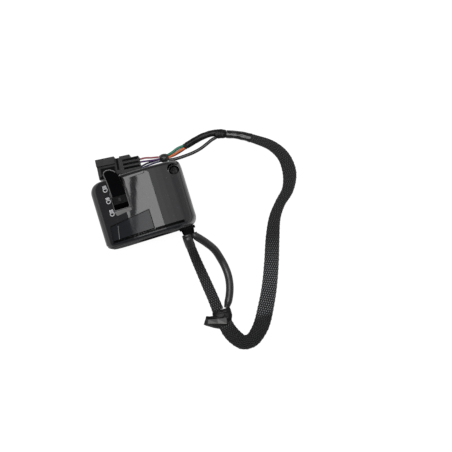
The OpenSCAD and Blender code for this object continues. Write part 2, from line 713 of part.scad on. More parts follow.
// Base that carries the fixed contacts and guides the carriage
module contact_base() {
    rail_in = carriage_w / 2 + run_gap;
    rail_lo = carriage_x - carriage_l / 2 - 1;
    rail_hi = carriage_x + carriage_l / 2 + 2 * peg_drop * sin(half_swing) + 1;
    color([0.55, 0.5, 0.4]) difference() {
        union() {
            block([base_lo_x, pivot_y - base_w / 2, base_top - base_t],
                [base_hi_x, pivot_y + base_w / 2, base_top]);
            for (s = [-1, 1]) translate([0, pivot_y + s * (rail_in + rail_t / 2), 0])
                block([rail_lo, -rail_t / 2, base_top - eps], [rail_hi, rail_t / 2, base_top + rail_h]);
        }
        block([rail_lo, pivot_y - ball_share * ball_r, base_top - base_t / 3],
            [rail_hi, pivot_y + ball_share * ball_r, base_top + eps]);
        for (y = post_ys) translate([post_x, y, 0]) cylinder(r = base_screw_r + screw_gap, h = far);
    }
}
module base_screws() {
    color([0.6, 0.6, 0.62]) for (y = post_ys) translate([post_x, y, base_top - base_t]) union() {
        translate([0, 0, -base_head_h]) cylinder(r = base_head_r, h = base_head_h);
        cylinder(r = base_screw_r, h = base_t + 4.6);
    }
}

// Common strip and three pads, one for each place of the carriage
module fixed_contacts() {
    pitch = peg_drop * sin(half_swing);
    color([0.8, 0.62, 0.3]) {
        block([blade_x - blade_w, pivot_y + contact_y - contact_w / 2, base_top],
            [post_x - post_r - 2 * screw_gap, pivot_y + contact_y + contact_w / 2, base_top + contact_t]);
        for (k = [0:2]) translate([blade_x + k * pitch, pivot_y - contact_y, base_top])
            block([-pitch / 3, -contact_w / 2, 0], [pitch / 3, contact_w / 2, contact_t]);
    }
}
module pivot_pin() {
    color([0.7, 0.7, 0.72]) translate([pivot_x, pivot_y, pivot_z]) rotate([90, 0, 0])
        cylinder(r = pin_r, h = pin_l, center = true);
}
module inner_leads() {
    color([0.1, 0.1, 0.12]) tube(smooth(even(leads_route, inner_d)));
}

// Thumb rocker: crease over the pivot, round inboard end, long raised tongue, arm and drive peg
tip_x = -tongue_l * cos(half_swing);
tip_z = crease_h + tongue_l * sin(half_swing);
// Points on a curve from a to c that leans towards b
function lean(a, b, c, n) = [for (i = [0:n])
    let (t = i / n) a * pow(1 - t, 2) + b * 2 * t * (1 - t) + c * t * t];
module rocker_side() {
    end_top = acos(crease_h * cos(half_swing) / rocker_end_r);
    heel = [-hub_r, -0.4 * hub_r];
    root = [-0.75 * rocker_end_r, 1.29 * crease_h];
    polygon(concat(
        [[0, crease_h]],
        arc(0, 0, rocker_end_r, 90 - end_top + half_swing, 4, curve_steps),
        [[hub_r, heel[1]]],
        lean(heel, root, [tip_x + tongue_t / 3, tip_z - tongue_t], curve_steps),
        [[tip_x, tip_z - 0.6 * tongue_t], [tip_x, tip_z - 0.2 * tongue_t], [tip_x + 0.2 * tongue_t, tip_z]]));
}
module rocker_plan() {
    hw = rocker_w / 2;
    polygon(concat(
        [[rocker_end_r + 1, hw], [rocker_end_r + 1, -hw], [0.6 * tip_x, -hw]],
        arc(tip_x + tip_corner_r, tip_corner_r - hw - tip_flare, tip_corner_r, 270, 180, curve_steps / 2),
        [for (k = [0:curve_steps]) let (a = 90 * k / curve_steps)
            [tip_x + tip_round_l * (1 - cos(a)), hw - tip_round_w * (1 - sin(a))]]));
}
// Bowl whose brim is an oval l long and w wide
module bowl(l, w, d) {
    brim = 40;
    translate([0, 0, d / (1 - cos(brim)) * cos(brim)])
        scale([l / 2 / sin(brim), w / 2 / sin(brim), d / (1 - cos(brim))]) sphere(r = 1, $fn = 40);
}
module rocker_paddle() {
    color([0.02, 0.02, 0.022])
    translate([pivot_x, pivot_y, pivot_z]) rotate([0, half_swing, 0]) difference() {
        union() {
            intersection() {
                translate([0, rocker_w, 0]) rotate([90, 0, 0]) linear_extrude(2 * rocker_w) rocker_side();
                translate([0, 0, -far / 2]) linear_extrude(far) rocker_plan();
            }
            rotate([90, 0, 0]) cylinder(r = hub_r, h = rocker_w, center = true);
            block([-arm_t / 2, -arm_w / 2, -peg_drop], [arm_t / 2, arm_w / 2, 0]);
            translate([0, 0, -peg_drop]) rotate([90, 0, 0]) cylinder(r = peg_r, h = arm_w, center = true);
        }
        rotate([90, 0, 0]) cylinder(r = pin_r + seat_gap, h = rocker_w + 2, center = true);
        translate([0, 0, crease_h]) rotate([0, half_swing, 0]) translate([-tongue_l / 2, 0, 0])
            bowl(tongue_l - 2 * dish_rim, rocker_w - 2 * dish_rim, dish_d);
    }
}

// Carriage that the rocker's peg pushes along the base
module contact_carriage() {
    slot = 2 * (peg_r + run_gap);
    color([0.85, 0.83, 0.78]) translate([carriage_x, pivot_y, 0]) difference() {
        block([-carriage_l / 2, -carriage_w / 2, carriage_z], [carriage_l / 2, carriage_w / 2, carriage_top]);
        block([-slot / 2, -carriage_w, pivot_z - peg_drop - peg_r - run_gap], [slot / 2, carriage_w, far]);
        translate([ball_x - carriage_x, 0, carriage_z - 1])
            cylinder(r = ball_r + seat_gap, h = spring_hi - carriage_z + 1 + seat_gap);
        block([blade_x - carriage_x - blade_w / 2, -carriage_w, carriage_z - 1],
            [blade_x - carriage_x + blade_w / 2, carriage_w, carriage_z + blade_t - run_gap]);
    }
}
module moving_contact() {
    z0 = carriage_z - run_gap;
    color([0.8, 0.55, 0.3])
        block([blade_x - blade_w / 2, pivot_y - carriage_w / 2 + blade_in, z0],
            [blade_x + blade_w / 2, pivot_y + carriage_w / 2 - blade_in, z0 + blade_t]);
}
module detent_ball() {
    color([0.75, 0.75, 0.78]) translate([ball_x, pivot_y, ball_z]) sphere(r = ball_r, $fn = 20);
}

// Detent spring, one unbroken coil
coil_r = ball_r - spring_wire / 2 - 2 * seat_gap;
coil_rise = spring_hi - spring_lo - spring_wire;
coil = [for (i = [0:8 * spring_turns])
    let (a = 45 * i, t = i / (8 * spring_turns))
    [ball_x + coil_r * cos(a), pivot_y + coil_r * sin(a), spring_lo + spring_wire / 2 + coil_rise * t]];
coil_ways = [for (i = [0:len(coil) - 1]) for (k = [i + 5:1:len(coil) - 1]) norm(coil[k] - coil[i])];
coil_gap = min(coil_ways) - spring_wire;
echo(least_gap_in_detent_spring = coil_gap);
module detent_spring() {
    color([0.6, 0.6, 0.63]) tube(even(coil, spring_wire), 6);
}

// Harness
module lower_sleeve() {
    color([0.05, 0.05, 0.05]) tube(smooth(sleeve_route), 10);
}
module side_tube() {
    color([0.03, 0.03, 0.03]) tube(smooth(even(tube_route, tube_d)));
}
module join_tape() {
    color([0.02, 0.02, 0.02]) tube(smooth(tape_route), 12);
}
module tape_flag() {
    color([0.02, 0.02, 0.02]) tube(smooth(flag_route), 10);
}
module main_sleeve() {
    color([0.05, 0.05, 0.05]) tube(smooth(main_route), 12);
}
module fork_tape() {
    color([0.02, 0.02, 0.02]) tube(smooth(fork_route), 12);
}
module tail_sleeve() {
    color([0.05, 0.05, 0.05]) tube(smooth(tail_route));
}
module upper_cable() {
    color([0.03, 0.03, 0.03]) tube(smooth(even(cable_route, cable_d)));
}
module lead(route, d, paint) {
    color(paint) tube(smooth(even(route, d)));
}
module green_lead() { lead(green_route, lead_d, [0.1, 0.45, 0.35]); }
module orange_lead() { lead(orange_route, lead_d, [0.85, 0.4, 0.15]); }
module white_lead() { lead(white_route, lead_d, [0.75, 0.75, 0.75]); }
module violet_lead() { lead(violet_route, lead_d, [0.3, 0.15, 0.4]); }
module pink_lead() { lead(pink_route, plug_lead_d, [0.9, 0.35, 0.4]); }
module navy_lead() { lead(navy_route, plug_lead_d, [0.1, 0.12, 0.4]); }
module blue_lead() { lead(blue_route, plug_lead_d, [0.15, 0.2, 0.55]); }
module purple_lead() { lead(purple_route, plug_lead_d, [0.35, 0.2, 0.5]); }
module bundle_tape() {
    color([0.3, 0.3, 0.31]) tube(smooth(bundle_route), 12);
}

// Plug
neck_in = 1.6;
rear_in = 0.8;
slim_in = 3;
bridge_roof = 0.9;
bridge_floor = 0.6;
bridge_lip = 2;
groove_lip = 1.6;
latch_in = 1.6;
latch_lo = 2.4;
hook_l = 2.2;
rear_u = plug_l + neck_l;
slim_u = rear_u + rear_wide_l;
module plug_shell() {
    color([0.06, 0.06, 0.065]) on_plug() difference() {
        union() {
            block([0, 0, 0], [plug_w, plug_l, plug_h]);
            block([0, 0, plug_h - eps], [bridge_w, plug_l, plug_h + bridge_h]);
            block([neck_in, plug_l - eps, 0], [plug_w - neck_in, rear_u, plug_h + bridge_h / 2]);
        }
        block([plug_wall, -1, plug_wall], [plug_w - plug_wall, socket_d, plug_h - plug_wall]);
        block([plug_wall, bridge_lip, plug_h + bridge_floor],
            [bridge_w - plug_wall, plug_l + 1, plug_h + bridge_h - bridge_roof]);
    }
}
module plug_rear() {
    lane = (plug_w - 2 * neck_in) / 4;
    color([0.08, 0.08, 0.085]) on_plug() difference() {
        union() {
            block([rear_in, rear_u, 0], [plug_w - rear_in, slim_u, rear_h]);
            block([slim_in, slim_u - eps, 0], [plug_w - rear_in, slim_u + rear_slim_l, rear_h]);
        }
        for (k = [1:3]) translate([neck_in + 1 + k * lane, 0, rear_h])
            block([-rib_groove_w / 2, rear_u + groove_lip, -rib_groove_d], [rib_groove_w / 2, far, 1]);
    }
}
module plug_latch() {
    color([0.05, 0.05, 0.055]) on_plug() union() {
        block([bridge_w + latch_in, latch_lo, plug_h], [plug_w - latch_in, plug_l - 1, plug_h + latch_t]);
        block([bridge_w + latch_in, latch_lo, plug_h + latch_t - eps],
            [plug_w - latch_in, latch_lo + hook_l, plug_h + 2 * latch_t]);
    }
}
module plug_pins() {
    count = 4;
    pitch = (plug_w - 2 * plug_wall) / count;
    color([0.8, 0.75, 0.5]) on_plug() for (k = [0:count - 1])
        translate([plug_wall + (k + 0.5) * pitch, socket_d, plug_h / 2])
            block([-blade_pin_t, -pin_show, -blade_pin_t / 2], [blade_pin_t, 0, blade_pin_t / 2]);
}

front_shell();
rear_shell();
side_panel();
clamp_screws();
threaded_inserts();
wire_grommet();
contact_base();
base_screws();
fixed_contacts();
pivot_pin();
inner_leads();
rocker_paddle();
contact_carriage();
moving_contact();
detent_ball();
detent_spring();
lower_sleeve();
side_tube();
join_tape();
tape_flag();
main_sleeve();
fork_tape();
tail_sleeve();
upper_cable();
green_lead();
orange_lead();
white_lead();
violet_lead();
bundle_tape();
pink_lead();
navy_lead();
blue_lead();
purple_lead();
plug_shell();
plug_rear();
plug_latch();
plug_pins();
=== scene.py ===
"""Looks of a handlebar switch cluster: moulded shells, thumb rocker, wiring harness and plug.

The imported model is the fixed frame. Sizes are in metres in the frame's own axes: +X along the bar towards
the inboard end, +Y up when mounted, +Z out of the switch face. The cluster lies on its back.
"""
import logging
import math
from dataclasses import dataclass, field
from enum import Enum
from typing import Callable, Iterable, Sequence, Union

import bmesh
import bpy
from mathutils import Matrix, Vector, noise


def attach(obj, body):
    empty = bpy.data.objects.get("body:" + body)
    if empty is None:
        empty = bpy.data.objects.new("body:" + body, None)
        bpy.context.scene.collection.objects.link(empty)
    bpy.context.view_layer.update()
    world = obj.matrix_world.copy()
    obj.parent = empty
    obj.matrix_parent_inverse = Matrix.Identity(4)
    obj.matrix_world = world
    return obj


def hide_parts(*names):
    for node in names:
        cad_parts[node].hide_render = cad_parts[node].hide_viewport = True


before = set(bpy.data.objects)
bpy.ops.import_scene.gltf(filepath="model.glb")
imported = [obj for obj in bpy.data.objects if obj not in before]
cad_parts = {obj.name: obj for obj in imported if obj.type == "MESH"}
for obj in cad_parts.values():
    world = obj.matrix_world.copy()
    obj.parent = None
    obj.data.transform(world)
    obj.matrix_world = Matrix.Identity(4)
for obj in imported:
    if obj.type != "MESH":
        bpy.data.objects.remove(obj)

LOG = logging.getLogger("switch_cluster")
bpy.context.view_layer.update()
MM = 0.001
FLOOR_Z = -18.0 * MM
HOUSING, ROCKER, CARRIAGE = "housing", "rocker", "carriage"
Colour = tuple[float, float, float]
Point = tuple[float, float, float]
Span = tuple[float, float]


class Flow:
    """A shader socket that takes part in Python arithmetic."""

    def __init__(self, tree: bpy.types.NodeTree, socket: bpy.types.NodeSocket) -> None:
        """Keeps the tree and the output socket."""
        self.tree = tree
        self.socket = socket

    def maths(self, operation: str, first: "Value", second: "Value") -> "Flow":
        """Adds one Math node.

        Args:
            operation: Name of the Math node's operation.
            first: Upper value or link.
            second: Lower value or link.

        Returns:
            The node's result.
        """
        node = self.tree.nodes.new("ShaderNodeMath")
        node.operation = operation
        for place, value in enumerate((first, second)):
            if isinstance(value, Flow):
                self.tree.links.new(value.socket, node.inputs[place])
            else:
                node.inputs[place].default_value = value
        return Flow(self.tree, node.outputs[0])

    def __add__(self, other: "Value") -> "Flow":
        """Sum."""
        return self.maths("ADD", self, other)

    __radd__ = __add__

    def __mul__(self, other: "Value") -> "Flow":
        """Product."""
        return self.maths("MULTIPLY", self, other)

    __rmul__ = __mul__

    def __sub__(self, other: "Value") -> "Flow":
        """Difference."""
        return self.maths("SUBTRACT", self, other)

    def __rsub__(self, other: "Value") -> "Flow":
        """Difference from a number."""
        return self.maths("SUBTRACT", other, self)


Value = Union[Flow, float]


class Board:
    """Node tree of one material, with its shader and its output."""

    def __init__(self, name: str) -> None:
        """Makes a material with only a Principled shader and its output.

        Args:
            name: Name of the material.
        """
        self.material = bpy.data.materials.new(name)
        self.material.use_nodes = True
        self.tree = self.material.node_tree
        self.tree.nodes.clear()
        self.shader = self.tree.nodes.new("ShaderNodeBsdfPrincipled")
        self.output = self.tree.nodes.new("ShaderNodeOutputMaterial")
        self.tree.links.new(self.shader.outputs[0], self.output.inputs["Surface"])

    def node(self, kind: str, settings: dict, sockets: dict, result: Union[int, str] = 0) -> Flow:
        """Adds any node.

        Args:
            kind: The node's type, without its ShaderNode prefix.
            settings: The node's own attributes, which are set first.
            sockets: Values or links of the input sockets.
            result: Output socket to return.

        Returns:
            The chosen output.
        """
        made = self.tree.nodes.new("ShaderNode" + kind)
        for key, value in settings.items():
            setattr(made, key, value)
        for key, value in sockets.items():
            self.feed(made.inputs[key], value)
        return Flow(self.tree, made.outputs[result])

    def feed(self, socket: bpy.types.NodeSocket, value: Union[Value, Sequence[float]]) -> None:
        """Links a flow to a socket, or sets the socket's own value.

        Args:
            socket: The input socket.
            value: A flow, a number, a vector or a colour.
        """
        if isinstance(value, Flow):
            self.tree.links.new(value.socket, socket)
        elif socket.type == "RGBA":
            socket.default_value = (*value, 1.0)
        else:
            socket.default_value = value

    def dress(self, **sockets: Union[Value, Sequence[float]]) -> bpy.types.Material:
        """Feeds the Principled shader.

        Args:
            sockets: Values or links, with underscores for the spaces in the sockets' names.

        Returns:
            The finished material.
        """
        for key, value in sockets.items():
            self.feed(self.shader.inputs[key.replace("_", " ")], value)
        return self.material

    def place(self) -> Flow:
        """Object coordinates."""
        return self.node("TexCoord", {}, {}, "Object")

    def attribute(self, name: str) -> Flow:
        """A mesh attribute, as a number."""
        return self.node("Attribute", {"attribute_name": name}, {}, "Fac")

    def axis(self, letter: str) -> Flow:
        """One of the object coordinates, X, Y or Z."""
        return self.node("SeparateXYZ", {}, {"Vector": self.place()}, letter)

    def grain(self, scale: float, detail: float) -> Flow:
        """Noise of so many cells in a metre."""
        sockets = {"Vector": self.place(), "Scale": scale, "Detail": detail}
        return self.node("TexNoise", {}, sockets, "Fac")

    def spread(self, value: Flow, low: float, high: float, to: Span = (0.0, 1.0)) -> Flow:
        """Maps low..high of a value onto another span, clamped."""
        sockets = {"Value": value, "From Min": low, "From Max": high, "To Min": to[0], "To Max": to[1]}
        return self.node("MapRange", {}, sockets)

    def blend(self, share: Value, first: Union[Flow, Colour], second: Union[Flow, Colour]) -> Flow:
        """Mixes two colours.

        Args:
            share: Share of the second colour.
            first: The colour at 0.
            second: The colour at 1.

        Returns:
            The mixed colour.
        """
        share_in, first_in, second_in, colour_out = 0, 6, 7, 2
        sockets = {share_in: share, first_in: first, second_in: second}
        return self.node("Mix", {"data_type": "RGBA"}, sockets, colour_out)

    def bump(self, height: Flow, depth: float, strength: float = 1.0) -> Flow:
        """Normal of a surface that a height of so many metres roughens."""
        sockets = {"Height": height, "Distance": depth, "Strength": strength}
        return self.node("Bump", {}, sockets)


# Pale tone that paints highlights into a surface's colour, on the faces marked for a painted highlight.
PAINTED_LIGHT_TONE: Colour = (0.52, 0.51, 0.5)
DUST: Colour = (0.2, 0.2, 0.2)


@dataclass(frozen=True)
class MouldedPlastic:
    """Moulded plastic with a fine spark-eroded grain and rounded edges painted lighter, partly as rubbing
    and partly as a painted highlight.
    """

    slot: str
    colour: Colour
    edge_wear_and_highlight: Colour
    roughness: float
    grain: float = 9000.0
    depth: float = 0.0000004
    gloss: float = 0.5
    dust: float = 0.0
    name: str = ""

    def make(self) -> bpy.types.Material:
        """Builds the material.

        Returns:
            The finish's material.
        """
        board = Board(self.name or self.slot + "_look")
        fine = board.grain(self.grain, 3.0)
        cloud = board.grain(self.grain / 45, 3.0)
        smear = board.grain(self.grain / 12, 4.0)
        # Rounded edges, in patches, are painted towards the lighter edge colour: part rubbing, part painted
        # highlight.
        edge = board.attribute("edge_wear_and_highlight") * board.spread(smear, 0.2, 0.5)
        speck = board.spread(board.grain(1500.0, 1.0), 0.72, 0.8) * self.dust
        shade = board.blend(cloud, self.colour, tuple(c * 1.25 for c in self.colour))
        shade = board.blend(speck, shade, DUST)
        shade = board.blend(edge, shade, self.edge_wear_and_highlight)
        rough = board.spread(cloud, 0.3, 0.7, (0.9 * self.roughness, 1.1 * self.roughness))
        rough = rough + board.attribute("dull") * 0.8
        # Faces marked for it are painted lighter towards the pale tone, as a painted highlight.
        return board.dress(
            Base_Color=board.blend(board.attribute("painted_highlight"), shade, PAINTED_LIGHT_TONE),
            Roughness=rough,
            Specular_IOR_Level=self.gloss,
            Normal=board.bump(fine, self.depth),
        )


@dataclass(frozen=True)
class PolishedPlastic:
    """High-gloss moulded plastic with rounded edges painted lighter as a painted highlight, and faint
    handling marks.
    """

    slot: str
    colour: Colour
    rim: Colour
    roughness: float

    def make(self) -> bpy.types.Material:
        """Builds the material.

        Returns:
            The finish's material.
        """
        board = Board(self.slot + "_look")
        ripple = board.grain(260.0, 2.0)
        marks = board.grain(1900.0, 6.0)
        smudge = board.spread(marks, 0.45, 0.75)
        # Rounded edges are painted towards the rim colour, as a painted highlight.
        return board.dress(
            Base_Color=board.blend(board.attribute("edge_wear_and_highlight"), self.colour, self.rim),
            Roughness=smudge * 0.03 + self.roughness,
            Specular_IOR_Level=0.1,
            Normal=board.bump(ripple, 0.00001, 0.35),
        )


@dataclass(frozen=True)
class SoftVinyl:
    """Extruded vinyl of a wire or a tube: smooth, a little uneven and faintly dusty."""

    slot: str
    colour: Colour
    roughness: float = 0.34

    def make(self) -> bpy.types.Material:
        """Builds the material.

        Returns:
            The finish's material.
        """
        board = Board(self.slot + "_look")
        uneven = board.grain(1500.0, 3.0)
        dust = board.spread(board.grain(5200.0, 4.0), 0.55, 0.8)
        pale = tuple(0.8 * c + 0.05 for c in self.colour)
        return board.dress(
            Base_Color=board.blend(dust * 0.5, self.colour, pale),
            Roughness=board.spread(uneven, 0.3, 0.7, (self.roughness - 0.06, self.roughness + 0.08)),
            Normal=board.bump(uneven, 0.00005, 0.4),
        )


@dataclass(frozen=True)
class BraidYarn:
    """Flat black polyester yarn: dark, with a glint painted into the colour on top of each float, painted
    brighter where the sleeve is taut and none past the bend.

    Places are along the bar (X) or across it (Y), each as the pair where a change begins and ends.
    """

    slot: str
    colour: Colour
    glint: Colour
    taut_gain: float = 7.35
    taut_from_x: Span = (45.0 * MM, 70.0 * MM)
    taut_to_x: Span = (99.0 * MM, 95.0 * MM)
    taut_from_y: Span = (35.0 * MM, 45.0 * MM)
    bent_from_x: Span = (97.0 * MM, 101.0 * MM)

    def make(self) -> bpy.types.Material:
        """Builds the material.

        Returns:
            The finish's material.
        """
        board = Board(self.slot + "_look")
        fibre = board.grain(7000.0, 2.0)
        height = board.attribute("float_height")
        # The tops of the floats are painted lighter, as a painted glint.
        lit = board.spread(height, 0.35, 1.0) * board.spread(fibre, 0.3, 0.7, (0.35, 1.0))
        inboard = board.axis("X")
        # The painted glint is brighter where the sleeve is taut, and gone past the bend.
        taut = board.spread(inboard, *self.taut_from_x) * board.spread(inboard, *self.taut_to_x)
        taut = taut * board.spread(board.axis("Y"), *self.taut_from_y, (0.3, 1.0))
        glint = board.blend(taut, self.glint, tuple(self.taut_gain * c for c in self.glint))
        glint = board.blend(board.spread(inboard, *self.bent_from_x), glint, self.colour)
        return board.dress(
            Base_Color=board.blend(lit, self.colour, glint),
            Roughness=0.62 - lit * 0.26,
            Normal=board.bump(fibre, 0.00004, 0.5),
        )


@dataclass(frozen=True)
class CreasedTape:
    """Stretchy vinyl tape: glossy, wrinkled and dusty in the creases."""

    slot: str
    colour: Colour
    roughness: float
    crease: float = 420.0
    gloss: float = 0.5
    name: str = ""

    def make(self) -> bpy.types.Material:
        """Builds the material.

        Returns:
            The finish's material.
        """
        board = Board(self.name or self.slot + "_look")
        fold = board.node(
            "TexNoise", {"noise_type": "RIDGED_MULTIFRACTAL"},
            {"Vector": board.place(), "Scale": self.crease, "Detail": 3.0}, "Fac")
        dust = board.spread(board.grain(2600.0, 5.0), 0.5, 0.75)
        shade = board.blend(dust, self.colour, tuple(c + 0.03 for c in self.colour))
        # Faces marked for it are painted lighter towards the pale tone, as a painted highlight.
        return board.dress(
            Base_Color=board.blend(board.attribute("painted_highlight"), shade, PAINTED_LIGHT_TONE),
            Roughness=dust * 0.18 + self.roughness,
            Specular_IOR_Level=self.gloss,
            Normal=board.bump(fold, 0.0003, 0.4),
        )


@dataclass(frozen=True)
class TurnedMetal:
    """Machined or pressed metal with fine tool marks and a little tarnish."""

    slot: str
    colour: Colour
    roughness: float

    def make(self) -> bpy.types.Material:
        """Builds the material.

        Returns:
            The finish's material.
        """
        board = Board(self.slot + "_look")
        marks = board.grain(14000.0, 2.0)
        tarnish = board.spread(board.grain(900.0, 5.0), 0.4, 0.7)
        return board.dress(
            Base_Color=board.blend(tarnish, self.colour, tuple(0.6 * c for c in self.colour)),
            Metallic=1.0,
            Roughness=tarnish * 0.2 + self.roughness,
            Normal=board.bump(marks, 0.00001, 0.6),
        )


@dataclass(frozen=True)
class PrintInk:
    """Pad-printed ink that is a little thin in places."""

    slot: str
    colour: Colour

    def make(self) -> bpy.types.Material:
        """Builds the material.

        Returns:
            The finish's material.
        """
        board = Board(self.slot + "_look")
        thin = board.spread(board.grain(3800.0, 4.0), 0.5, 0.75)
        return board.dress(
            Base_Color=board.blend(thin, self.colour, tuple(0.62 * c for c in self.colour)),
            Roughness=0.5,
        )


class Finish(Enum):
    """Every finish on the cluster, by the name of the record's slot."""

    # The second colour of each moulded finish paints its rounded edges lighter, part wear and part painted
    # highlight; the rocker's second colour is a painted rim highlight.
    SHELL = MouldedPlastic("shell_plastic", (0.022, 0.022, 0.024), (0.05, 0.05, 0.053), 0.05, dust=0.5)
    PANEL = MouldedPlastic(
        "panel_plastic", (0.017, 0.0182, 0.021), (0.2, 0.21, 0.225), 0.1, 9000.0, 0.00000008, 0.2)
    ROCKER = PolishedPlastic("rocker_plastic", (0.0032, 0.0033, 0.0038), (0.03, 0.031, 0.034), 0.08)
    PLUG = MouldedPlastic(
        "plug_plastic", (0.0065, 0.0065, 0.007), (0.09, 0.09, 0.095), 0.42, 7000.0, gloss=0.2)
    # Black latch plastic, also used for strips of painted shade on the plug.
    LATCH = MouldedPlastic(
        "plug_plastic", (0.003, 0.003, 0.003), (0.02, 0.02, 0.021), 0.5, 7000.0, gloss=0.03,
        name="latch_and_shade_look")
    # Black rubber of the grommet, also used for strips of painted shade.
    RUBBER = MouldedPlastic(
        "grommet_rubber", (0.002, 0.002, 0.002), (0.006, 0.006, 0.006), 0.34, 5000.0, gloss=0.03)
    BASE = MouldedPlastic("base_plastic", (0.36, 0.27, 0.16), (0.5, 0.42, 0.3), 0.5)
    CARRIAGE = MouldedPlastic("carriage_plastic", (0.68, 0.65, 0.56), (0.75, 0.73, 0.66), 0.45)
    # Near-black steel: black-oxide screws, dark also to paint the shade in the screws' recesses.
    STEEL = TurnedMetal("screw_steel", (0.022, 0.022, 0.023), 0.4)
    BRASS = TurnedMetal("brass", (0.66, 0.46, 0.2), 0.26)
    BRAID = BraidYarn("sleeve_braid", (0.011, 0.011, 0.012), (0.085, 0.0865, 0.092))
    TUBE = SoftVinyl("tube_vinyl", (0.028, 0.028, 0.029), 0.28)
    TAPE = CreasedTape("tape_vinyl", (0.016, 0.016, 0.016), 0.14, 230.0, 0.5)
    WOUND = CreasedTape("tape_vinyl", (0.008, 0.008, 0.008), 0.3, 260.0, 0.16, "wound_tape")
    WRAP = CreasedTape("wrap_tape", (0.02, 0.02, 0.021), 0.24, 420.0)
    GREEN = SoftVinyl("green_vinyl", (0.012, 0.21, 0.13))
    ORANGE = SoftVinyl("orange_vinyl", (0.68, 0.15, 0.035))
    WHITE = SoftVinyl("white_vinyl", (0.55, 0.56, 0.55))
    VIOLET = SoftVinyl("violet_vinyl", (0.075, 0.025, 0.13))
    PINK = SoftVinyl("pink_vinyl", (0.34, 0.075, 0.1))
    NAVY = SoftVinyl("navy_vinyl", (0.009, 0.01, 0.05))
    BLUE = SoftVinyl("blue_vinyl", (0.012, 0.015, 0.075))
    INK = PrintInk("print_ink", (0.78, 0.78, 0.8))

    def material(self) -> bpy.types.Material:
        """The finish's one material, made when it is first asked for."""
        look = getattr(self.value, "name", "") or self.value.slot + "_look"
        return bpy.data.materials.get(look) or self.value.make()

    def paint(self, piece: bpy.types.Object) -> None:
        """Gives a piece this finish's material.

        Args:
            piece: The piece to dress.
        """
        piece.data.materials.clear()
        piece.data.materials.append(self.material())


EdgeTest = Callable[[bmesh.types.BMEdge], bool]


